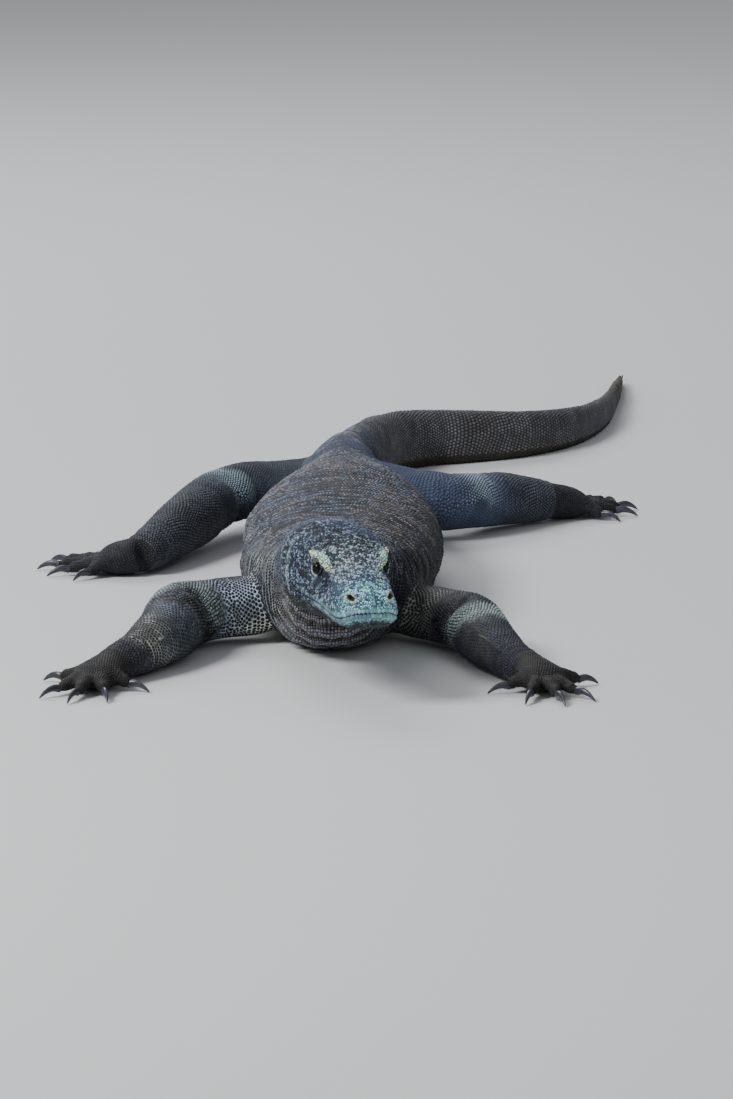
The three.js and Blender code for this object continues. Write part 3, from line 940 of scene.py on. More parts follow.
def layered(colour, *layers):
    """A colour with others laid over it in turn, each given with its share."""
    for over, share in layers:
        colour = blend_colours(colour, over, share)
    return colour


def marking(points, part, place, angle):
    """Colours of the scales' crowns and of the skin between them, and how strong the net is.

    Each part has a dark and a light tone that change along it, and noise decides how light each scale is.
    Where the net is strong, the scales are black and the skin between them pale. The net's pale lines are
    painted brighter on the lit right arm and darker on the shaded left arm, as painted light and shade.
    """
    each = noise(points, 1.4, 20)
    grain = noise(points, 5.5, 21)
    patch = noise(points, 26, 22)
    broad = noise(points, 70, 23)
    lot = smoothstep(0.55 * each + 0.3 * grain + 0.15 * patch, 0.30, 0.68)
    dark = SLATE * 0.42
    pale = blend_colours(CLAY, ASH, smoothstep(grain + 0.5 * broad, 0.5, 0.9))
    ground = np.tile(NIGHT * 0.6, (len(points), 1))
    net = np.zeros(len(points))
    net_tone_and_painted_light = np.ones(len(points))
    left = part.endswith("left")
    if part == "body":
        looks = body_marking(points, place, angle, dark, pale, ground, lot, each, patch, broad)
        dark, pale, ground, lot, net, net_tone_and_painted_light = looks
    elif part.startswith("arm"):
        looks = arm_marking(points, place, angle, left, dark, pale, ground, lot, grain, patch)
        dark, pale, ground, lot, net, net_tone_and_painted_light = looks
    elif part.startswith("leg"):
        dark, pale, ground, lot = leg_marking(place, angle, left, ground, lot, patch)
    else:
        pale = UMBER * 0.3 if part.startswith("hand") else SLATE * 0.45
        dark = NIGHT * 0.6
    tops = blend_colours(dark, pale, lot)
    lines = blend_colours(ASH * 1.2, BONE * 0.7, 0.6 * smoothstep(broad, 0.3, 0.7))
    lines = lines * (0.5 + 1.3 * grain)[:, None]
    return blend_colours(tops, NIGHT * 0.7, net), blend_colours(ground, lines * net_tone_and_painted_light[:, None], net), net


def body_marking(points, place, angle, dark, pale, ground, lot, each, patch, broad):
    """The head, neck, trunk and tail: tan and grey, blue-grey hips, brown tail, a net on the neck's right, and
    painted shade on the left flank and, in part, on the tail's underside.
    """
    top = np.sin(angle)
    length = BODY.along(place) / MM
    right = smoothstep(-np.cos(angle), -0.2, 0.6)
    head = 1 - smoothstep(place, 7.8, 9.2)
    hips = band(place, 15.5, 18.5, 20.8, 22.5)
    tail = smoothstep(place, 20.8, 22.8)
    nape = hump(place, 9.6, 1.3)
    throat = hump(place, 10.0, 2.0) * (1 - smoothstep(top, -0.7, -0.3))
    crest = smoothstep(throat_rolls(points, length), -0.2, 0.9)
    bars = smoothstep(np.sin(length * 2 * math.pi / 34 + 2.5 * broad), 0.0, 0.9)
    scallop = tail * hump(top, -0.46, 0.08) * smoothstep(np.sin(length * 2 * math.pi / 11), -0.5, 0.5)
    # The tail's dark olive underside: partly its own colour, partly painted shade under the tail.
    belly = tail * (1 - smoothstep(top, -0.62, -0.5))
    flank = 1 - smoothstep(top, -0.55, 0.25)
    rows = band(place, *SHOULDER_ROWS) * smoothstep(top, 0.1, 0.6)
    furrow = rows * (1 - smoothstep(shoulder_rows(points, length) + 1.2 * (patch - 0.5), -0.8, 0.0))
    # Painted shade: the left flank below the back is darkened from the neck to the hips, with fewer pale
    # scales and darker tones, as if in shadow.
    shaded = (1 - smoothstep(top, 0.1, 0.95)) * (1 - right) * (1 - tail) * smoothstep(place, 9, 12)
    for tone, deep, amount in (
        (blend_colours(ASH * 0.6, SLATE, 0.6) * [0.92, 1.05, 1.15], SLATE, hips),
        (blend_colours(UMBER, ASH * 0.5, 0.7) * 1.5, blend_colours(UMBER, SLATE, 0.6) * 1.15, 0.95 * tail),
        (srgb(104, 106, 96), UMBER * 0.9, smoothstep(place, 27.5, 30)),
        (ASH * 0.7, INK * 0.8, 0.9 * nape),
        (CLAY * 0.7, UMBER * 0.42, 0.8 * scallop),
        (OLIVE, OLIVE * 0.5, belly),
        (blend_colours(CLAY, ASH, 0.5) * 2.1, UMBER, throat),
    ):
        pale = blend_colours(pale, tone, amount)
        dark = blend_colours(dark, deep, amount)
    ground = layered(ground, (SLATE * 0.35, hips), (UMBER * 0.55, 0.7 * tail))
    ground = blend_colours(ground, ASH * 0.5, 0.7 * throat * crest)
    lot = lot * (1 - 0.5 * tail * bars) * (1 - 0.3 * flank * (1 - head)) * (1 - 0.65 * shaded)
    trunk = smoothstep(place, 9, 11) * (1 - tail)
    tan = trunk * smoothstep(noise(points, 14, 27) + 0.4 * each, 0.68, 0.85)
    pale = blend_colours(pale * (1 - 0.75 * shaded)[:, None], CLAY * [1.45, 1.5, 1.6], 0.7 * tan)
    furrow *= 0.55 + 0.45 * smoothstep(broad, 0.35, 0.65)
    lot = lot * (1 - 0.6 * furrow) + 0.15 * rows * (1 - furrow)
    lot = np.clip(lot + 0.9 * scallop + throat * (0.9 * crest - 0.25), 0, 1)
    pale = pale * (1 - 0.3 * furrow)[:, None] * (1 - trunk[:, None] * [0.02, -0.08, -0.24])
    dark = dark * ((1 - 0.4 * furrow) * (1 - 0.2 * trunk) * (1 - 0.7 * shaded))[:, None]
    side = band(place, 9.0, 10.2, 12, 13.4) * right
    net = side * smoothstep(patch, 0.0, 0.35) * (1 - smoothstep(top, 0.1, 0.75))
    net = net * smoothstep(top, -0.95, -0.5)
    net_tone_and_painted_light = np.full(len(points), 0.62)
    return *head_marking(points, dark, pale, ground, lot, head), net, net_tone_and_painted_light


def arm_marking(points, place, angle, left, dark, pale, ground, lot, grain, patch):
    """An arm: a net over the upper arm, a pale elbow, and a dark forearm, streaked and edged with net; the net
    is painted brighter on the lit right arm and darker on the shaded left one.
    """
    top = np.sin(angle)
    inner = smoothstep(np.cos(angle) * (1 if left else -1), -0.3, 0.6)
    middle = 3.25 + 0.4 * top if left else 3.0 - 0.4 * inner
    elbow = hump(place, middle, 0.42) * (1 if left else smoothstep(top, -0.6, 0.2))
    elbow = smoothstep(elbow * (0.6 + 0.8 * patch), 0.25, 0.75)
    upper = 1 - smoothstep(place, 2.1, 2.6)
    lower = smoothstep(place, 3.4 + 0.3 * top, 3.9 + 0.3 * top)
    streak = smoothstep(noise(points * [1, 1, 0.55], 10, 31), 0.40, 0.62)
    tone = blend_colours(COBALT * 0.85, CLAY * 0.4, smoothstep(grain, 0.55, 0.8))
    elbow_tone = blend_colours(SAGE, ASH, 0.45) * 1.05
    pale = layered(pale, (ASH * 0.9, 0.6), (tone, 0.85 * lower), (elbow_tone, elbow))
    dark = layered(dark, (NIGHT * 0.7, 0.8), (COBALT * 0.35, lower * (0.9 if left else 0.3)))
    lot = lot * (0.5 if left else 0.7) * (1 - lower * (1 - streak) * 0.6)
    lot = np.clip(lot + (0.6 if left else 0.3) * elbow, 0, 1)
    ground = blend_colours(ground, ASH * 0.15, elbow)
    net = upper * (1 - elbow) * smoothstep(patch + 0.4 * upper, 0.25, 0.5)
    border = (0.5 + 0.5 * streak) * lower * (1 - smoothstep(place, 5.2, 5.6))
    net = np.maximum(net, (0.35 if left else 0.9) * border)
    # Painted light and shade: the net's pale lines are brighter on the lit right arm and darker on the shaded
    # left arm.
    net_tone_and_painted_light = (0.5 if left else 1.7) * (1 - lower) + (0.3 if left else 0.65) * lower
    return dark, pale, ground, lot, net, net_tone_and_painted_light


def leg_marking(place, angle, left, ground, lot, patch):
    """A leg: a blue thigh, a pale knee and a dark shin, and the right leg painted darker than the left as
    painted shade.
    """
    knee = hump(place, 2.8, 0.45) * smoothstep(np.sin(angle), -0.5, 0.3) * smoothstep(patch, 0.1, 0.4)
    lower = smoothstep(place, 3.0, 4.0)
    blue = blend_colours(SLATE, COBALT, 0.6 * left)
    # Painted shade: the right leg's pale, dark and skin tones are darker, as beside the trunk in shade.
    pale = layered(
        blue * (1.3 if left else 0.6),
        (blend_colours(SAGE, ASH, 0.65) * [1.05, 1.1, 1.2], knee),
        (ASH * 0.7, 0.8 * lower * (1 - knee)),
    )
    dark = blend_colours(blue * (0.95 if left else 0.45), SOOT * 1.8, 0.7 * lower)
    ground = blend_colours(ground, blue * (0.75 if left else 0.5), 1 - lower)
    return dark, pale, ground, np.clip(0.5 * lot + 0.15 + 0.7 * knee, 0, 1)


def brow_marking(folded, cloud, each):
    """Where the brow's cream patch lies, and its tint: bone below and sage above, with darker seams."""
    spot = (folded - BROW_AT) @ BROW_AXES / BROW_RADII
    cream = 1 - smoothstep(np.linalg.norm(spot, axis=1), 1.05, 1.25)
    cream *= smoothstep(spot[:, 0] - 0.4 * spot[:, 1] - 0.22, -0.14, 0.14)
    tint = blend_colours(BONE * [1.8, 2.1, 2.0], SAGE * [1.55, 2.1, 2.3], smoothstep(spot[:, 2], 0.05, 0.45))
    seam = hump(spot[:, 2], 0.3 + 0.2 * (cloud - 0.5), 0.08)
    return cream, tint * (1 - 0.5 * seam - 0.4 * (1 - each))[:, None]


def head_marking(points, dark, pale, ground, lot, head):
    """The head: pale worm-like flecks on blue-black, teal lips and snout, cream brows and eye rims, and
    painted shade in the eye's hollow, round the eye and in the nostrils.
    """
    folded = mirrored(to_head(points))
    out, back, up = folded.T
    above = up - mouth_height(back)
    each = noise(points * [0.55, 1.1, 1.3], 1.6, 40)
    worm = noise(points * [0.6, 1.2, 1.5], 2.3, 41)
    cloud = noise(points, 17, 42)
    broad = noise(points, 46, 43)
    spill = noise(points, 8, 44)
    fleck = 1 - smoothstep(np.abs(worm - 0.5), 0.03, 0.15)

    snout = 1 - smoothstep(back - 0.35 * (up - 10) + 34 * (cloud - 0.5) + 16 * (spill - 0.5), 2, 54)
    top = smoothstep(up / np.maximum(out, 1), 0.4, 0.9)
    rear = smoothstep(back, 112, 150)
    chin = smoothstep(-above, 6, 11)
    lips = hump(above, -1.5, 5.5) * (1 - smoothstep(back, 70, 100)) * (1 - chin)
    between = top * hump(back, 78, 34)
    cheek = hump(back, 118, 28) * smoothstep(out, 26, 40) * (1 - top)
    cheek_line = hump(back - 168 - 0.2 * up, 0, 4.0) * smoothstep(out, 26, 40) * hump(up, 2, 28)
    # Painted shade in the hollow before and under the eye: it darkens the scales and skin there, together with
    # the dark tear line.
    hollow = np.maximum(hump(back, 72, 9) * hump(up, 12, 8), hump(back, 88, 8) * hump(up, 5, 6))
    hollow *= smoothstep(out, 24, 32)
    tear = hump(back - 0.5 * (up - 12), 83, 4.5) * band(up, -7, 1, 15, 19) * smoothstep(out, 22, 30)
    angle, distance = eye_angle(folded)
    rearward = smoothstep(0.7 * (back - EYE_AT[1]) - (up - EYE_AT[2]), -1.5, 3.5)
    rim = hump(angle, 59.5, 4.2) * (distance < 14) * rearward
    # Painted shade round the eye's front and upper side, in its socket under the brow: the scales and skin
    # there are darkened.
    socket = hump(angle, 65, 14) * (distance < 15) * (1 - rearward)
    nose = nostril_rim(folded)
    wing = hump(nose, 1.5, 0.28)
    cream, tint = brow_marking(folded, cloud, each)

    stain = blend_colours(SLATE, CLAY * 0.6, smoothstep(cloud, 0.4, 0.6)) * 0.6
    wash = blend_colours(TEAL * [0.26, 0.34, 0.38], COBALT * [0.8, 0.95, 1.35], smoothstep(spill, 0.42, 0.62))
    gum_spots = 0.8 * smoothstep(spill + 0.6 * (each - 0.5), 0.45, 0.65)
    gum = blend_colours(SAGE, TEAL, 0.5) * [0.68, 0.8, 0.8]
    gum = blend_colours(gum, COBALT * [0.9, 1.4, 1.3], gum_spots)
    under = blend_colours(UMBER * 1.1, SAGE * 0.35, 0.6 * smoothstep(cloud, 0.4, 0.7))
    light = layered(
        layered(SAGE, (ASH, 0.3), (BONE * 0.9, 0.2 * between)) * [1.02, 1.13, 1.38],
        (ASH * [1.7, 1.95, 2.15], 0.8 * rear),
        (COBALT * [3.6, 4.0, 4.2], 0.3 * cheek),
        (SAGE * [1.15, 1.75, 2.15], snout),
        (gum, lips),
    )
    deep = layered(
        INK * 0.6,
        (COBALT * 0.85, 0.9 * smoothstep(broad, 0.35, 0.7)),
        (stain, 0.7 * between),
        (wash, 0.9 * snout),
        (light * 0.72, 0.85 * lips),
        (SOOT * 0.9, chin),
        (NIGHT * 0.6, socket),
        (INK * 0.6, np.maximum(0.5 * hollow, 0.9 * tear)),
    )
    light = layered(
        light,
        (under, chin),
        (tint, cream),
        (BONE * 1.1, rim),
        (NIGHT * 0.6, socket),
        (BONE * 0.85, 0.7 * wing),
        (SAGE * 0.9, cheek_line),
    )
    share = fleck * (0.55 + 0.35 * between) + each - 0.5 + 0.5 * (cloud - 0.5)
    share += 0.20 * snout + 0.06 * between + 0.25 * lips - 0.16 * (1 - snout) * (1 - between)
    share += (0.4 + 0.4 * snout) * (spill - 0.5) - 0.05 * rear
    share = smoothstep(share, 0.0, 0.8)
    for lift in (cream * (0.4 + each), 0.8 * rim, 0.6 * wing, 0.75 * cheek_line):
        share = np.clip(share + lift, 0, 1)
    share *= (1 - 0.7 * hollow) * (1 - 0.8 * tear)

    joined_up = smoothstep(fleck + 0.5 * (cloud - 0.5), 0.35, 0.9)
    skin = layered(
        INK * 0.5,
        (wash * 0.6, 0.8 * snout),
        (light, 0.5 * joined_up * (1 - chin)),
        (light * 0.8, lips),
        (BONE * 0.3, 0.8 * cream),
        (BONE * 0.7, np.clip(1.2 * rim, 0, 1) * (angle > 53)),
        (NIGHT * 0.3, (distance < 14) * (1 - smoothstep(angle, 50, 56))),
        (NIGHT * 0.3, socket),
        (BONE * [0.45, 0.42, 0.28], 0.7 * hump(nose, 1.18, 0.16)),
        (RUST * 0.55, 1 - smoothstep(nose, 0.85, 1.05)),
        # Painted shade: deep inside the nostril the skin goes near black.
        (RUST * 0.08, 1 - smoothstep(nose, 0.4, 0.85)),
        (NIGHT * 0.4, hump(above, 0, 0.9) * (back < MOUTH_END)),
    )
    return (
        blend_colours(dark, deep, head),
        blend_colours(pale, light, head),
        blend_colours(ground, skin, head),
        lot + (share - lot) * head,
    )


def paint(mesh, colours):
    """Writes one colour for each vertex to the attribute that the hide's material reads."""
    attribute = mesh.color_attributes.new("marking", "FLOAT_COLOR", "POINT")
    attribute.data.foreach_set("color", np.c_[colours, np.ones(len(colours))].astype(np.float32).ravel())


# ---------- roots of the scales ----------
def masked(mask, *arrays):
    """The rows of several arrays that a mask chooses."""
    return [values[mask] for values in arrays]


def pairs_within(points, reach):
    """Pairs of points nearer than a reach, in both orders and sorted by the first.

    Points are put in cubes as wide as the reach, and each is compared with those in the 27 cubes round it.
    """
    cell = np.floor((points - points.min(0)) / reach).astype(np.int64) + 1
    width = cell.max(0) + 2
    key = (cell[:, 0] * width[1] + cell[:, 1]) * width[2] + cell[:, 2]
    order = np.argsort(key, kind="stable")
    ordered = key[order]
    found = []
    for step in np.ndindex(3, 3, 3):
        dx, dy, dz = np.array(step) - 1
        wanted = key + (dx * width[1] + dy) * width[2] + dz
        start = np.searchsorted(ordered, wanted)
        many = np.searchsorted(ordered, wanted, side="right") - start
        first = np.repeat(np.arange(len(points)), many)
        inner = np.arange(many.sum()) - np.repeat(np.cumsum(many) - many, many)
        second = order[np.repeat(start, many) + inner]
        near = (((points[first] - points[second]) ** 2).sum(1) < reach**2) & (first != second)
        found.append(masked(near, first, second))
    first, second = np.concatenate(found, axis=1)
    order = np.argsort(first, kind="stable")
    return first[order], second[order]


def thinned(points, spacing, rank, stretch=None):
    """Which points stay when any two nearer than their mean spacing may not both stay: the higher rank stays.

    In each round, a point that outranks all its undecided neighbours stays, and they go. stretch multiplies a
    point's offsets to its neighbours before they are measured.
    """
    stretch = np.ones_like(points) if stretch is None else stretch
    first, second = pairs_within(points, spacing.max() / stretch.min())
    apart = np.linalg.norm((points[first] - points[second]) * (stretch[first] + stretch[second]) / 2, axis=1)
    first, second = masked(apart < (spacing[first] + spacing[second]) / 2, first, second)
    stays = np.zeros(len(points), bool)
    undecided = np.ones(len(points), bool)
    while undecided.any():
        live = undecided[first] & undecided[second]
        first, second = masked(live, first, second)
        beaten = np.zeros(len(points), bool)
        beaten[first[rank[second] > rank[first]]] = True
        winners = undecided & ~beaten
        stays |= winners
        undecided &= ~winners
        undecided[second[winners[first]]] = False
    return stays


def ring_roots(tube, start, end, width, length, rng):
    """Places, angles and widths of scales in rings down a tube, in columns counted from the top line.

    width and length give a scale's size in mm. Ring k lies where the integral of 1 / length is k, and its
    scales lie where the integral of 1 / width round it is j + STAGGER (k mod 2). Then all of them drift with
    soft noise, so that the rows wander as on loose skin.
    """
    fine = np.linspace(start, end, 300)
    gone = tube.along(fine) / MM
    index = np.r_[0, np.cumsum(np.diff(gone) / length((fine[1:] + fine[:-1]) / 2))]
    rings = np.interp(np.arange(0.5, index[-1]), index, fine)
    turn = np.linspace(-math.pi, math.pi, 2 * RING_STEPS + 1)
    points = tube.surface(rings[:, None], math.pi / 2 + turn[None, :], -COAT) / MM
    steps = np.linalg.norm(np.diff(points, axis=1), axis=2)
    middle = math.pi / 2 + (turn[1:] + turn[:-1]) / 2
    count = np.c_[np.zeros(len(rings)), np.cumsum(steps / width(rings[:, None], middle[None, :]), axis=1)]
    count -= count[:, [RING_STEPS]]
    most = int(np.abs(count).max()) + 1
    column = np.arange(-most, most + 1)[None, :] + STAGGER * (np.arange(len(rings)) % 2)[:, None]
    column = column + rng.normal(0, JITTER, column.shape)
    inside = (column > count[:, :1] + 0.3) & (column < count[:, -1:] - 0.3)
    shift = 4 * most * np.arange(len(rings))[:, None]
    turns = np.tile(turn, len(rings))
    angle = np.interp((column + shift).ravel(), (count + shift).ravel(), turns) + math.pi / 2
    place = rings[:, None] + rng.normal(0, JITTER, column.shape) * (rings[1] - rings[0])
    place, angle = masked(inside.ravel(), place.ravel(), angle)

    here = tube.surface(place, angle)
    ahead = np.linalg.norm(tube.surface(place + 0.02, angle) - here, axis=1) / (0.02 * MM)
    widths = width(place, angle) * np.clip(ahead * MM / tube.frame(place)[4], 1.0, 1.5)
    aside = np.linalg.norm(tube.surface(place, angle + 0.02) - here, axis=1) / (0.02 * MM)
    place = place + DRIFT * widths * (noise(here, DRIFT_SIZE, 61) - 0.5) / np.maximum(ahead, 1)
    angle = angle + DRIFT * widths * (noise(here, DRIFT_SIZE, 62) - 0.5) / np.maximum(aside, 4)
    return np.clip(place, start, end), angle, widths


def directions_on(tube, place, angle):
    """Points of a tube's surface, and the directions along it and round it there."""
    here = tube.surface(place, angle, -COAT)
    along = unit(tube.surface(place + 0.01, angle, -COAT) - tube.surface(place - 0.01, angle, -COAT))
    aside = unit(tube.surface(place, angle + 0.01, -COAT) - here)
    return here, along, unit(aside - along * (aside * along).sum(1, keepdims=True))


def on_skin(points, along, across, skin):
    """Points moved to the nearest place on the skin, with its normal there.

    Three points round each root are wrapped on to the skin, and their plane gives the normal.
    """
    ahead = along * WRAP_REACH * MM
    aside = across * WRAP_REACH * MM * WRAP_ASIDE
    behind = points - ahead * 0.5
    corners = np.stack([points + ahead, behind + aside, behind - aside], 1).reshape(-1, 3)
    mesh = bpy.data.meshes.new("roots")
    mesh.vertices.add(len(corners))
    mesh.vertices.foreach_set("co", corners.astype(np.float32).ravel())
    roots = object_of("roots", mesh)
    wrap = roots.modifiers.new("wrap", "SHRINKWRAP")
    wrap.target = skin
    wrap.wrap_method = "NEAREST_SURFACEPOINT"
    wrapped = evaluated(roots)
    found = points_of(wrapped).reshape(-1, 3, 3)
    bpy.data.meshes.remove(wrapped)
    discard(roots)
    normal = np.cross(found[:, 1] - found[:, 0], found[:, 2] - found[:, 0])
    inward = (normal * np.cross(along, across)).sum(1) < 0
    return found.mean(1), unit(np.where(inward[:, None], -normal, normal))


def scale_mesh(name, roots):
    """Scales as one mesh: a six-sided dome on each root, whose edge lies half way to its neighbours.

    The reach of a dome in direction d is the least of |o|^2 / (2 o.d) over the offsets o to its neighbours.
    Its rim lies under the skin, a ring inside it stands at most of the height, and the crown is set back. On
    the unwrap, each scale is a small patch at its root's place.
    """
    points, normal, along = (roots[key] for key in ("at", "normal", "along"))
    width, height = (roots[key] for key in ("width", "height"))
    along = unit(along - normal * (along * normal).sum(1, keepdims=True))
    across = np.cross(normal, along)
    turn = (np.arange(SCALE_SIDES) + 0.5) * 2 * math.pi / SCALE_SIDES
    first, second = pairs_within(points, 1.9 * width.max())
    off = points[second] - points[first]
    flat_along = (off * along[first]).sum(1)
    flat_across = (off * across[first]).sum(1)
    square = flat_along**2 + flat_across**2
    reach = np.repeat(0.66 * width[:, None], SCALE_SIDES, 1)
    for k in range(SCALE_SIDES):
        toward_neighbour = flat_along * math.cos(turn[k]) + flat_across * math.sin(turn[k])
        limit = np.where(toward_neighbour > 0, square / (2 * np.maximum(toward_neighbour, 1e-9)), np.inf)
        nearest = np.full(len(points), np.inf)
        np.minimum.at(nearest, first, limit)
        reach[:, k] = np.minimum(reach[:, k], nearest)
    reach = np.maximum(reach * roots["fill"][:, None], 0.12 * width[:, None])
    short, narrow = roots["gaps"].T[:, :, None, None]
    ring = along[:, None] * np.cos(turn)[None, :, None] * (1 - short)
    ring = ring + across[:, None] * np.sin(turn)[None, :, None] * (1 - narrow)
    up = normal[:, None] * height[:, None, None]
    rim = points[:, None] + ring * reach[..., None] - normal[:, None] * RIM_SINK * MM
    shoulder = points[:, None] + ring * (roots["shoulder"][:, None] * reach)[..., None] + up * SHOULDER_HEIGHT
    crown = points + along * (0.08 * width[:, None]) + normal * height[:, None]
    corners = np.concatenate([rim, shoulder, crown[:, None]], 1)
    corners[..., 2] = np.maximum(corners[..., 2], SCALE_FLOOR_GAP * MM)
    k = np.arange(SCALE_SIDES)
    after = (k + 1) % SCALE_SIDES
    quads = np.stack([k, after, after + SCALE_SIDES, k + SCALE_SIDES], 1)
    caps = np.stack([k + SCALE_SIDES, after + SCALE_SIDES, np.full(SCALE_SIDES, 2 * SCALE_SIDES)], 1)
    start = (np.arange(len(points)) * SCALE_POINTS)[:, None, None]
    faces = ((quads + start).reshape(-1, 4), (caps + start).reshape(-1, 3))
    mesh = mesh_of(name, corners.reshape(-1, 3), *faces)

    # The rim takes the colour of the skin between the scales; the shoulder ring is painted a little darker and
    # the crown lighter, as painted shade and highlight on each dome.
    edge = np.repeat(roots["ground"][:, None], SCALE_SIDES, 1)
    body = np.repeat(roots["crown"][:, None], SCALE_SIDES, 1) * 0.9
    paint(mesh, np.concatenate([edge, body, roots["crown"][:, None] * 1.12], 1).reshape(-1, 3))

    circle = np.stack([np.cos(turn), np.sin(turn)], 1) * BAKE_PATCH / 2
    patch = np.concatenate([circle, circle / 2, np.zeros((1, 2))])
    low = roots["unwrap"].min(0)
    high = roots["unwrap"].max(0)
    spot = BAKE_EDGE + (1 - 2 * BAKE_EDGE) * (roots["unwrap"] - low) / (high - low)
    uv = (spot[:, None] + patch[None]).reshape(-1, 2)
    layer = mesh.uv_layers.new(name="OFBake")
    layer.uv.foreach_set("vector", uv[corners_of(mesh)].astype(np.float32).ravel())
    return mesh


def roots_on(part, tube, start, end, sizes, skin, others, tall, unwrap_offset=0.0):
    """Roots of a tube's scales on the skin.

    Those that lie inside other tubes are left out, and those where the tube's rings fold back or the skin
    stands on edge to them.
    """
    rng = np.random.default_rng(SEED + len(part))
    place, angle, widths = ring_roots(tube, start, end, *sizes, rng)
    here, along, across = directions_on(tube, place, angle)
    outside = (along * tube.frame(place)[1]).sum(1) > 0
    for other in others:
        outside &= other.depth(here) > -COAT * 0.5 * MM
    place, angle, widths, here, along, across = masked(outside, place, angle, widths, here, along, across)
    at, normal = on_skin(here, along, across, skin)
    level = (normal * np.cross(along, across)).sum(1) > 0.3
    spots = masked(level, place, angle, widths, at, normal, along)
    return dressed(part, tube, spots, rng, tall, unwrap_offset)


def dressed(part, tube, spots, rng, tall, unwrap_offset=0.0):
    """Roots with all that their scales need: sizes, colours and places on the unwrap."""
    place, angle, widths, at, normal, along = spots
    crown, ground, net = marking(at, part, place, angle)
    height = tall * (0.85 + 0.3 * rng.random(len(at))) * np.clip(widths / 4.5, 0.5, 1.1) * (1 - 0.4 * net) * MM
    return {
        "shoulder": 0.70 + 0.21 * net,
        "gaps": row_gaps(part, place, angle),
        "at": at,
        "normal": normal,
        "along": along,
        "width": widths * MM,
        "height": height,
        "fill": FILL * (0.95 + 0.08 * rng.random(len(at))) * (1 + 0.05 * net),
        "crown": crown,
        "ground": blend_colours(ground, crown, 0.5 * net),
        "unwrap": np.c_[tube.along(place) / MM, angle * 45 + unwrap_offset],
    }


def scattered(skin, chosen, count, rng):
    """Points spread at random over the skin's triangles whose corners are all chosen, with their normals."""
    points = points_of(skin.data)
    triangles = corners_of(skin.data).reshape(-1, 3)
    normals = normals_of(points, triangles)
    triangles = triangles[chosen(points)[triangles].all(1)]
    a, b, c = (points[triangles[:, k]] for k in range(3))
    area = np.linalg.norm(np.cross(b - a, c - a), axis=1)
    pick = triangles[rng.choice(len(triangles), count, p=area / area.sum())]
    u = rng.random((count, 2))
    u = np.where(u.sum(1, keepdims=True) > 1, 1 - u, u)
    share = np.c_[1 - u.sum(1), u][..., None]
    return (points[pick] * share).sum(1), unit((normals[pick] * share).sum(1))


def gap_roots(part, tube, width, skin, taken, chosen, tall):
    """Roots for the gaps that rings leave where a limb bends or meets a paw.

    Points scattered on the chosen skin stay where no scale lies near, and then are thinned to nine tenths of
    a width.
    """
    rng = np.random.default_rng(SEED)
    at, normal = scattered(skin, chosen, GAP_SCATTER, rng)
    place, angle = tube.angle(at)
    widths = width(place, angle)
    first, second = pairs_within(np.vstack([at, taken]), GAP * widths.max() * MM)
    first, second = masked((first < len(at)) & (second >= len(at)), first, second)
    near = np.linalg.norm(at[first] - taken[second - len(at)], axis=1) < GAP * widths[first] * MM
    far = np.ones(len(at), bool)
    far[first[near]] = False
    place, angle, widths, at, normal = masked(far, place, angle, widths, at, normal)
    stays = thinned(at, 0.9 * widths * MM, rng.random(len(at)))
    place, angle, widths, at, normal = masked(stays, place, angle, widths, at, normal)
    along = directions_on(tube, place, angle)[1] + [0, 0, -0.3]
    return dressed(part, tube, (place, angle, widths, at, normal, along), rng, tall)


def row_gaps(part, place, angle):
    """How much shorter and narrower scales are than their share of the lattice, as two shares.

    Rings part from each other on the shoulders and forearms, and columns on the back and tail.
    """
    if part == "body":
        spine = smoothstep(np.sin(angle), 0.8, 0.98) * band(place, 13.5, 14.5, 17, 19)
        trunk = band(place, 10, 12, 16, 19) * (1 - spine)
        shut = trunk * (0.11 + 0.11 * smoothstep(np.sin(angle), 0.3, 0.8))
        return np.c_[0.10 + shut, 0.04 + 0.15 * spine - 0.16 * trunk]
    if part.startswith("arm"):
        lower = smoothstep(place, 3.4, 4.0)
        bend = hump(place, 2.7, 0.6) * part.endswith("left")
        return np.c_[0.08 + 0.16 * lower - 0.05 * bend, 0.08 - 0.06 * lower + 0.2 * bend]
    return np.tile([0.05, 0.04], (len(place), 1))


def gathered(sets):
    """Several sets of roots as one."""
    return {key: np.concatenate([one[key] for one in sets]) for key in sets[0]}


def kept(roots, mask):
    """The roots that a mask chooses."""
    return {key: values[mask] for key, values in roots.items()}


def spaced(roots):
    """Roots without those too near to an earlier one in the list."""
    rank = -np.arange(len(roots["at"]), dtype=float)
    return kept(roots, thinned(roots["at"], roots["width"] * CROWDED, rank))


def sized(places, sizes):
    """A rule for a scale's size in mm from its place on a tube, and from its angle where that is given."""
    return lambda place, angle=0.0: np.interp(place, places, sizes) + 0 * angle


BODY_WIDTH = sized([8, 9.5, 11.5, 15, 17, 20, 24, 28, 31], [3, 3.2, 3.7, 4, 3.6, 3.7, 4, 3.7, 2.5])
BODY_LENGTH = sized(
    [8, 10, 11.5, 12.5, 14.5, 17, 20, 24, 28, 31],
    [3.2, 4, 5.5, 7.5, 7.5, 5.5, 4.6, 5, 4.8, 3.4],
)


def body_width(place, angle):
    """The width of the body's scales, in mm: half as wide again and more under the belly."""
    under = (1 - smoothstep(np.sin(angle), -0.8, -0.35)) * smoothstep(place, 10.5, 13)
    return BODY_WIDTH(place) * (1 + 0.6 * under)


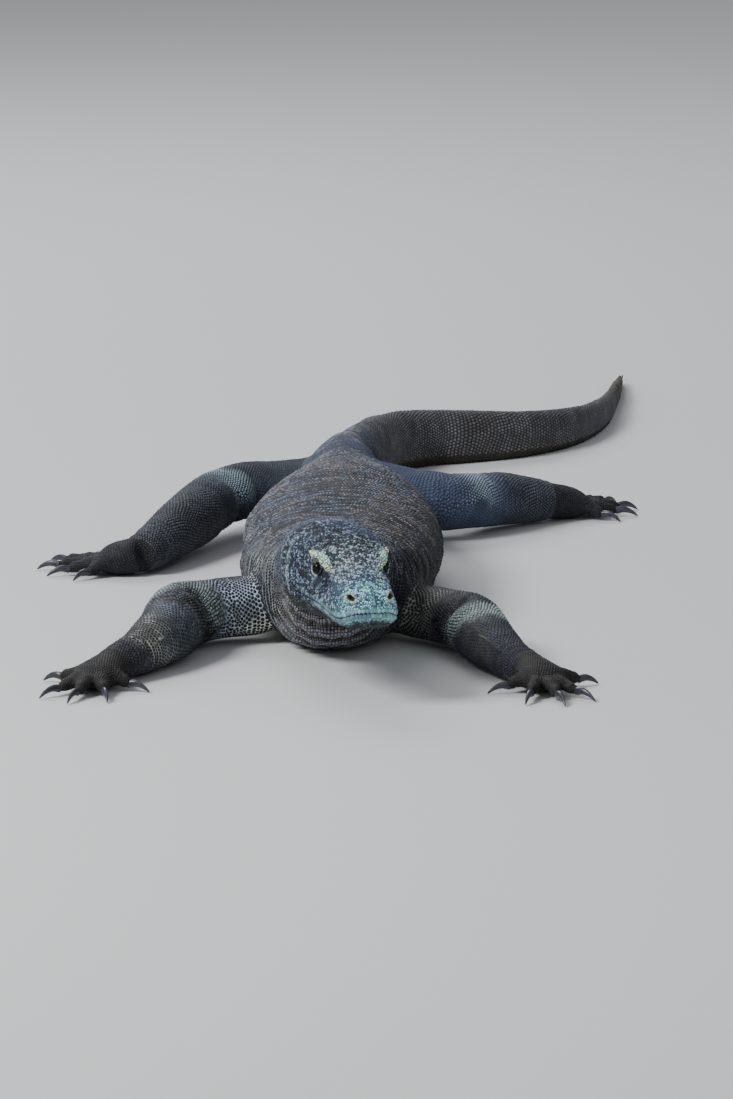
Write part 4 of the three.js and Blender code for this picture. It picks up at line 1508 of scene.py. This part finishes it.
# Rules for widths and lengths. Rings are close on the elbow, knee and thigh, whose bends spread them.
BODY_SIZES = (body_width, BODY_LENGTH)
ARM_SIZES = (
    sized([0, 2.2, 3, 3.8, 5, 6], [5.4, 4.8, 3.3, 4.2, 3.9, 3.3]),
    sized([0, 2.2, 3, 3.8, 5, 6], [3.6, 3.4, 2.7, 4.4, 4.2, 3.3]),
)
LEG_SIZES = (
    sized([0, 2.2, 3, 3.8, 5, 6], [4.4, 4.2, 3.6, 4.0, 3.8, 3.3]),
    sized([0, 2.2, 2.8, 3.8, 5, 6], [3.2, 3.2, 2.7, 4.4, 4.2, 3.3]),
)
PALM_SIZES = (sized([0, 2], [PAW_SCALE, PAW_SCALE]),) * 2
DIGIT_SIZES = (sized([0, 3], [3.1, 2.5]),) * 2


def head_spacing(folded):
    """The distance between the head's scales, in mm: smallest on the lids and snout, larger on the crown."""
    size = np.interp(folded[:, 1], [0, 30, 90, 150, 200], [2.3, 2.6, 2.9, 3.1, 3.4])
    return size * (1 - 0.45 * hump(eye_angle(folded)[1], 9.5, 3.5))


def lip_rows(skin):
    """Places and normals of the scales along both lips, evenly spaced on lines beside the mouth's line."""
    found = []
    for offset in (3.5, -3.5):
        place = 0.02 + 6.08 * np.linspace(0, 1, 700) ** 1.6
        back = BODY.along(place) / MM
        size = BODY.size(place, -COAT) / MM
        rise = mouth_height(back) + offset
        inside = np.abs(rise) < size[:, 2] * 0.999
        sine = (np.abs(rise[inside]) / size[inside, 2]) ** (JAW_POWER / 2)
        angle = np.arcsin(np.clip(sine, 0, 1))
        right = np.c_[place[inside], math.pi + angle][::-1]
        left = np.c_[place[inside], -angle]
        points = BODY.surface(*np.vstack([right, left]).T, -COAT)
        gone = np.r_[0, np.cumsum(np.linalg.norm(np.diff(points, axis=0), axis=1))] / MM
        steps = np.arange(1.5, gone[-1], LIP_SPACING)
        steps = steps + 0.9 * np.sin(steps * 1.7 + offset)
        here = np.stack([np.interp(steps, gone, points[:, k]) for k in range(3)], 1)
        found.append(np.hstack([here, unit(np.gradient(here, axis=0))]))
    here, along = np.split(np.vstack(found), 2, axis=1)
    outward = unit(here - BODY.frame(BODY.locate(here)[0])[0])
    return on_skin(here, along, unit(np.cross(outward, along)), skin)


def head_roots(skin):
    """Roots of the head's scales: rows along the lips, and the rest scattered and thinned to fit."""
    rng = np.random.default_rng(SEED)

    def on_head(points):
        local = to_head(points)
        return (local[:, 1] < HEAD_SCALES_END) & (np.abs(local[:, 0]) < HEAD_SCALES_OUT)

    at, normal = scattered(skin, on_head, HEAD_SCATTER, rng)
    lip_at, lip_normal = lip_rows(skin)
    at = np.vstack([lip_at, at])
    normal = np.vstack([lip_normal, normal])
    rank = np.r_[2 + np.arange(len(lip_at)) / len(lip_at), rng.random(len(at) - len(lip_at))]
    folded = mirrored(to_head(at))
    spacing = head_spacing(folded)
    angle, distance = eye_angle(folded)
    open_skin = ~((angle < 55) & (distance < 14)) & (nostril_rim(folded) > 1.3)
    above = folded[:, 2] - mouth_height(folded[:, 1])
    is_lip = np.arange(len(at)) < len(lip_at)
    spacing[is_lip] = LIP_APART
    open_skin &= is_lip | ~((np.abs(above) < 6.2) & (folded[:, 1] < MOUTH_END - 4))
    ear = np.linalg.norm((folded - EAR_AT) / [12, 3.6, 8.5], axis=1)
    open_skin &= ear > 1
    at, normal, rank, spacing, is_lip = masked(open_skin, at, normal, rank, spacing, is_lip)
    folded = mirrored(to_head(at))
    top = smoothstep(folded[:, 2] / np.maximum(folded[:, 0], 1), 0.4, 0.9)
    stretch = np.array([0.84, 0.92, 1.35]) + np.array([-0.16, 0.53, -0.15]) * top[:, None]
    local = to_head(at) * MM
    stays = thinned(local, spacing * HEAD_PACKING * MM, rank, np.where(is_lip[:, None], 1.0, stretch))
    at, normal, spacing, is_lip = masked(stays, at, normal, spacing, is_lip)
    spacing[is_lip] = LIP_SCALE
    place, angle = BODY.angle(at)
    crown, ground, _ = marking(at, "body", place, angle)
    along = BODY.frame(place)[1] + 0.05 * rng.normal(size=at.shape)
    return {
        "shoulder": np.full(len(at), 0.76),
        "at": at,
        "normal": normal,
        "along": along,
        "width": spacing * HEAD_SCALE_WIDTH * MM,
        "height": 0.75 * (0.8 + 0.4 * rng.random(len(at))) * np.where(is_lip, 0.28, spacing / 2.9) * MM,
        "fill": np.where(is_lip, 0.98, 0.92),
        "gaps": np.zeros((len(at), 2)),
        "crown": crown,
        "ground": ground,
        "unwrap": np.c_[BODY.along(place) / MM, angle * 40],
    }


# ---------- materials ----------
def put(tree, socket, value):
    """Sets a socket to a value, or links it from another node's output."""
    if isinstance(value, bpy.types.NodeSocket):
        tree.links.new(value, socket)
    else:
        socket.default_value = value


def node(tree, kind, **inputs):
    """A new shader node with some of its inputs put in."""
    made = tree.nodes.new(kind)
    for name, value in inputs.items():
        put(tree, made.inputs[name.replace("_", " ")], value)
    return made


def maths(tree, operation, *values):
    """The result of a maths node on values and outputs."""
    made = tree.nodes.new("ShaderNodeMath")
    made.operation = operation
    for socket, value in zip(made.inputs, values):
        put(tree, socket, value)
    return made.outputs["Value"]


def cloud_node(tree, **inputs):
    """Noise on the object's own coordinates."""
    where = tree.nodes.new("ShaderNodeTexCoord").outputs["Object"]
    return node(tree, "ShaderNodeTexNoise", Vector=where, **inputs).outputs["Fac"]


def ranged(tree, value, low, high):
    """A noise's middle range moved to lie between two values."""
    made = node(tree, "ShaderNodeMapRange", Value=value, From_Min=0.3, From_Max=0.7, To_Min=low, To_Max=high)
    return made.outputs["Result"]


def hide_group():
    """The group that every part of the hide shares: marking dusted and mottled, gloss and grain."""
    group = bpy.data.node_groups.new("hide", "ShaderNodeTree")
    for name, kind, value in (
        ("Marking", "NodeSocketColor", (0.1, 0.1, 0.1, 1)),
        ("Dust", "NodeSocketFloat", 0.15),
        ("Gloss", "NodeSocketFloat", 0.5),
        ("Grain", "NodeSocketFloat", 700.0),
    ):
        group.interface.new_socket(name, in_out="INPUT", socket_type=kind).default_value = value
    for name, kind in (("Color", "Color"), ("Roughness", "Float"), ("Height", "Float")):
        group.interface.new_socket(name, in_out="OUTPUT", socket_type="NodeSocket" + kind)
    given = group.nodes.new("NodeGroupInput").outputs
    fine = cloud_node(group, Scale=given["Grain"], Detail=3.0, Roughness=0.6)
    wide = cloud_node(group, Scale=38.0, Detail=4.0, Roughness=0.65)
    toned = group.nodes.new("ShaderNodeVectorMath")
    toned.operation = "SCALE"
    put(group, toned.inputs[0], given["Marking"])
    mottle = maths(group, "MULTIPLY", ranged(group, wide, 0.72, 1.25), ranged(group, fine, 0.86, 1.14))
    put(group, toned.inputs["Scale"], mottle)
    dusty = group.nodes.new("ShaderNodeMix")
    dusty.data_type = "RGBA"
    put(group, dusty.inputs["Factor"], maths(group, "MULTIPLY", given["Dust"], wide))
    put(group, dusty.inputs[6], toned.outputs["Vector"])
    put(group, dusty.inputs[7], (*DUST_COLOUR, 1))
    rough = maths(group, "MULTIPLY_ADD", fine, 0.25, given["Gloss"])
    node(group, "NodeGroupOutput", Color=dusty.outputs[2], Roughness=rough, Height=fine)
    return group


def shader_material(name):
    """A new material and its one shader."""
    material = bpy.data.materials.new(name)
    material.use_nodes = True
    return material, material.node_tree.nodes["Principled BSDF"]


def marking_output(tree):
    """The marking attribute's colour."""
    marks = tree.nodes.new("ShaderNodeAttribute")
    marks.attribute_name = "marking"
    return marks.outputs["Color"]


def hide_material(name, dust, gloss, grain, bump):
    """A hide: the marking attribute through the shared group into one shader, with a fine bump."""
    material, shader = shader_material(name)
    tree = material.node_tree
    shader.inputs["Specular IOR Level"].default_value = 0.28
    group = tree.nodes.new("ShaderNodeGroup")
    group.node_tree = bpy.data.node_groups.get("hide") or hide_group()
    for key, value in (("Marking", marking_output(tree)), ("Dust", dust), ("Gloss", gloss), ("Grain", grain)):
        put(tree, group.inputs[key], value)
    put(tree, shader.inputs["Base Color"], group.outputs["Color"])
    put(tree, shader.inputs["Roughness"], group.outputs["Roughness"])
    relief = node(tree, "ShaderNodeBump", Strength=bump, Distance=0.0006, Height=group.outputs["Height"])
    put(tree, shader.inputs["Normal"], relief.outputs["Normal"])
    return material


def plain_material(name, colour, roughness, coat=0.0):
    """A material of one shader with one colour."""
    material, shader = shader_material(name)
    shader.inputs["Base Color"].default_value = (*colour, 1)
    shader.inputs["Roughness"].default_value = roughness
    shader.inputs["Coat Weight"].default_value = coat
    return material


def marked(material):
    """The material, taking its colour from the marking attribute."""
    tree = material.node_tree
    put(tree, tree.nodes["Principled BSDF"].inputs["Base Color"], marking_output(tree))
    return material


def finish(made, material, nodes):
    """Gives a piece its material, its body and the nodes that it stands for."""
    made.data.materials.append(material)
    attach(made, "root" if "root" in frame["bodies"] else next(iter(frame["bodies"])))
    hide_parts(*nodes)


# ---------- settings ----------
class DragonHide(PropertyGroup):
    """Sizes and finish of the hide."""

    dust: FloatProperty(name="Dust", description="Pale dust on the hide", default=0.12, subtype="FACTOR")
    scale_height: FloatProperty(
        name="Scale height", description="Height of the trunk's scales in mm", default=1.15, min=0.3, max=2
    )


class DragonStage(PropertyGroup):
    """The floor, the lights and the camera."""

    floor_colour: FloatVectorProperty(
        name="Floor", description="Colour of the floor", default=(0.66, 0.66, 0.65), subtype="COLOR", size=3
    )
    sky: FloatProperty(name="Sky", description="Strength of the even light", default=0.4)
    key: FloatProperty(name="Key light", description="Power of the large lamp", default=230.0, subtype="POWER")


class DRAGON_OT_stage(Operator):
    """Make the floor, the lights and the camera"""

    bl_idname = "dragon.stage"
    bl_label = "Stage"

    def execute(self, context):
        settings = context.scene.dragon_stage
        corners = np.array([[-1, -1, 0], [1, -1, 0], [1, 1, 0], [-1, 1, 0]]) * FLOOR_REACH
        floor = object_of("floor", mesh_of("floor", corners, np.array([[0, 1, 2, 3]])))
        floor.data.materials.append(plain_material("floor", settings.floor_colour, 0.85))

        world = bpy.data.worlds.new("studio")
        world.use_nodes = True
        world.node_tree.nodes["Background"].inputs["Color"].default_value = (0.90, 0.95, 1.0, 1)
        world.node_tree.nodes["Background"].inputs["Strength"].default_value = settings.sky
        context.scene.world = world
        for name, at, size, power, tone in (
            ("key", (-3.0, -2.0, 3.4), 1.8, settings.key, (0.97, 0.98, 1.0)),
            ("fill", (1.5, -4.0, 2.2), 3.0, settings.key * 0.06, (0.9, 0.95, 1.0)),
            ("back", (-1.2, 3.4, 3.0), 2.6, settings.key * 0.4, (0.95, 0.97, 1.0)),
        ):
            lamp = bpy.data.lights.new(name, "AREA")
            lamp.shape = "DISK"
            lamp.size = size
            lamp.energy = power
            lamp.color = tone
            made = bpy.data.objects.new(name, lamp)
            context.scene.collection.objects.link(made)
            made.location = at
            made.rotation_euler = Vector(-np.array(at)).to_track_quat("-Z", "Y").to_euler()

        camera = bpy.data.objects.new("camera", bpy.data.cameras.new("camera"))
        context.scene.collection.objects.link(camera)
        camera.data.sensor_width = SENSOR
        camera.data.lens = LENS
        camera.data.clip_end = 100
        camera.location = CAMERA_AT
        camera.rotation_euler = (math.radians(90 - CAMERA_DOWN), 0, 0)
        context.scene.camera = camera
        return {"FINISHED"}


class DRAGON_OT_skin(Operator):
    """Make the one skin under the scales"""

    bl_idname = "dragon.skin"
    bl_label = "Skin"

    def execute(self, context):
        points, triangles = build_skin()
        mesh = mesh_of("skin", points, triangles)
        tubes = {"body": BODY, **LIMB_TUBES}
        tubes.update({name: palm for name, (palm, _, _) in PAW_TUBES.items()})
        distances, owner = nearest_tube(points, list(tubes.values()))
        reach = paw_distances(points)
        without_paws = 1 + len(LIMB_TUBES)
        on_paw = (reach.min(0) < PAW_COLOUR_REACH * MM) & (distances[:without_paws].min(0) > 2 * MM)
        owner = np.where(on_paw, without_paws + reach.argmin(0), owner)
        colours = np.zeros((len(points), 3))
        for index, (part, tube) in enumerate(tubes.items()):
            mine = owner == index
            place, angle = tube.angle(points[mine])
            colours[mine] = marking(points[mine], part, place, angle)[1]
        paint(mesh, colours)
        made = object_of("skin", mesh)
        finish(made, hide_material("skin", 0.05, 0.5, 900.0, 0.4), ALL_FLESH)
        return {"FINISHED"}


def add_scales(name, roots, nodes, slot="skin", dust=None):
    """One piece of scales from its roots. Pieces with the same slot share a material."""
    dust = bpy.context.scene.dragon_hide.dust if dust is None else dust
    material_name = "scales_" + slot
    material = bpy.data.materials.get(material_name) or hide_material(material_name, dust, 0.42, 1100.0, 0.35)
    finish(object_of(name, scale_mesh(name, roots)), material, nodes)


class DRAGON_OT_head_scales(Operator):
    """Make the scales of the face and the crown"""

    bl_idname = "dragon.head_scales"
    bl_label = "Head scales"

    def execute(self, context):
        roots = head_roots(bpy.data.objects["skin"])
        back = to_head(roots["at"])[:, 1]
        add_scales("scales_face", kept(roots, back < FACE_END), HEAD_NODES, "head_skin", HEAD_DUST)
        add_scales("scales_crown", kept(roots, back >= FACE_END), HEAD_NODES, "head_skin", HEAD_DUST)
        return {"FINISHED"}


class DRAGON_OT_body_scales(Operator):
    """Make the scales of the neck, trunk and tail"""

    bl_idname = "dragon.body_scales"
    bl_label = "Body scales"

    def execute(self, context):
        skin = bpy.data.objects["skin"]
        tall = context.scene.dragon_hide.scale_height
        others = list(LIMB_TUBES.values())
        for name, (start, end, nodes) in BODY_SCALES.items():
            roots = roots_on("body", BODY, start, end, BODY_SIZES, skin, others, tall)
            if name == "scales_neck":
                roots = kept(roots, to_head(roots["at"])[:, 1] > HEAD_SCALES_END - 1)
            add_scales(name, spaced(roots), nodes)
        return {"FINISHED"}


class DRAGON_OT_limb_scales(Operator):
    """Make the scales of the arms and legs"""

    bl_idname = "dragon.limb_scales"
    bl_label = "Limb scales"

    def execute(self, context):
        skin = bpy.data.objects["skin"]
        tall = context.scene.dragon_hide.scale_height * 0.95
        for name, tube in LIMB_TUBES.items():
            sizes = ARM_SIZES if name.startswith("arm") else LEG_SIZES

            def on_limb(points):
                place = tube.locate(points)[0]
                near = np.abs(tube.depth(points)) < LIMB_GAP_DEPTH * MM
                return (place > 0.5) & (place < tube.last - 0.03) & near & (BODY.depth(points) > 0)

            roots = spaced(roots_on(name, tube, 0.4, tube.last, sizes, skin, [BODY], tall))
            gaps = gap_roots(name, tube, sizes[0], skin, roots["at"], on_limb, tall)
            add_scales("scales_" + name, gathered([roots, gaps]), LIMB_NODES[name])
        return {"FINISHED"}


class DRAGON_OT_paw_scales(Operator):
    """Make the small scales of the hands and feet"""

    bl_idname = "dragon.paw_scales"
    bl_label = "Paw scales"

    def execute(self, context):
        skin = bpy.data.objects["skin"]
        for name, (palm, fingers, _) in PAW_TUBES.items():
            limb_name = PAWS[name][3]
            limb = LIMB_TUBES[limb_name]
            wrist = limb.frame(np.array([float(limb.last)]))[0]
            roots = roots_on(name, palm, 0.0, 1.98, PALM_SIZES, skin, fingers, PAW_SCALE_HEIGHT)
            sets = [kept(roots, limb.locate(roots["at"])[0] > limb.last - 0.02)]
            for index, finger in enumerate(fingers):
                others = [palm, *fingers[:index], *fingers[index + 1:]]
                offset = DIGIT_UNWRAP * (index + 1)
                roots = roots_on(name, finger, 0, 2.96, DIGIT_SIZES, skin, others, PAW_SCALE_HEIGHT, offset)
                sets.append(roots)
            roots = spaced(gathered(sets))

            def near_wrist(points):
                return np.linalg.norm(points - wrist, axis=1) < WRIST_GAPS * MM

            limb_scales = points_of(bpy.data.objects["scales_" + limb_name].data)
            taken = np.vstack([roots["at"], limb_scales[SCALE_POINTS - 1::SCALE_POINTS]])
            gaps = gap_roots(name, palm, PALM_SIZES[0], skin, taken, near_wrist, PAW_SCALE_HEIGHT)
            add_scales("scales_" + name, gathered([roots, gaps]), [name])
        return {"FINISHED"}


class DRAGON_OT_claws(Operator):
    """Make the claws"""

    bl_idname = "dragon.claws"
    bl_label = "Claws"

    def execute(self, context):
        material = marked(plain_material("horn", (0.05, 0.05, 0.06), 0.38, coat=0.25))
        for name, (_, _, claws) in PAW_TUBES.items():
            points, quads, triangles = joined([claw.shell(*CLAW_MESH, 0.0) for claw in claws])
            points[:, 2] = np.maximum(points[:, 2], 0)
            mesh = mesh_of("claws_" + name, points, quads, triangles)
            streak = noise(points * [1, 1, 4], 5, 51)
            share = 0.35 + 0.65 * smoothstep(streak, 0.3, 0.75)
            paint(mesh, blend_colours(srgb(16, 18, 22), srgb(56, 60, 70), share))
            nodes = [node_name for node_name in frame["nodes"] if node_name.startswith("claw_" + name)]
            finish(object_of("claws_" + name, mesh), material, nodes)
        return {"FINISHED"}


class DRAGON_OT_eyes(Operator):
    """Make the eyes"""

    bl_idname = "dragon.eyes"
    bl_label = "Eyes"

    def execute(self, context):
        material = marked(plain_material("eye", (0.02, 0.01, 0.01), 0.2, coat=0.03))
        material.node_tree.nodes["Principled BSDF"].inputs["Specular IOR Level"].default_value = 0.18
        u = np.linspace(0, math.pi, 40)[1:-1, None]
        v = np.linspace(0, 2 * math.pi, 64, endpoint=False)[None, :]
        ball = np.stack([np.cos(u) * np.ones_like(v), np.sin(u) * np.cos(v), np.sin(u) * np.sin(v)], -1)
        faces = closed_grid(*ball.shape[:2])
        ball = np.vstack([ball.reshape(-1, 3), [[1, 0, 0], [-1, 0, 0]]])
        for name, side in (("eye_left", 1), ("eye_right", -1)):
            facing = unit(EYE_FACING * [side, 1, 1])
            aside = unit(np.cross([0, 0, 1.0], facing))
            upward = np.cross(facing, aside)
            cornea = 1 + 0.045 * smoothstep(ball[:, 0], 0.72, 0.95)
            shape = (ball * cornea[:, None]) @ np.stack([facing, aside, upward]) * EYE_RADIUS
            points = from_head(shape + EYE_AT * [side, 1, 1])
            mesh = mesh_of(name, points, *faces)
            off = np.degrees(np.arccos(np.clip(ball[:, 0], -1, 1)))
            iris = blend_colours(srgb(14, 10, 9), srgb(6, 5, 6), smoothstep(off, 24, 38))
            paint(mesh, blend_colours(srgb(3, 3, 4), iris, smoothstep(off, 15, 18)))
            finish(object_of(name + "_ball", mesh), material, [name])
        return {"FINISHED"}


class DRAGON_PT_panel(Panel):
    """Lists the dragon's pieces and settings"""

    bl_idname = "DRAGON_PT_panel"
    bl_label = "Komodo dragon"
    bl_space_type = "VIEW_3D"
    bl_region_type = "UI"
    bl_category = "Dragon"

    def draw(self, context):
        for settings in (context.scene.dragon_hide, context.scene.dragon_stage):
            for name in settings.__annotations__:
                self.layout.prop(settings, name)
        for operator in OPERATORS:
            self.layout.operator(operator.bl_idname)


OPERATORS = (
    DRAGON_OT_stage,
    DRAGON_OT_skin,
    DRAGON_OT_eyes,
    DRAGON_OT_claws,
    DRAGON_OT_head_scales,
    DRAGON_OT_body_scales,
    DRAGON_OT_limb_scales,
    DRAGON_OT_paw_scales,
)
CLASSES = (DragonHide, DragonStage, *OPERATORS, DRAGON_PT_panel)


def register():
    """Registers the classes and the scene's settings."""
    for cls in CLASSES:
        bpy.utils.register_class(cls)
    bpy.types.Scene.dragon_hide = PointerProperty(type=DragonHide)
    bpy.types.Scene.dragon_stage = PointerProperty(type=DragonStage)


def unregister():
    """Takes the settings and classes away again."""
    del bpy.types.Scene.dragon_hide
    del bpy.types.Scene.dragon_stage
    for cls in reversed(CLASSES):
        bpy.utils.unregister_class(cls)


def main():
    """Registers the classes and settings, and builds every piece in order."""
    register()
    for operator in OPERATORS:
        group, name = operator.bl_idname.split(".")
        getattr(getattr(bpy.ops, group), name)()


if __name__ == "__main__":
    main()
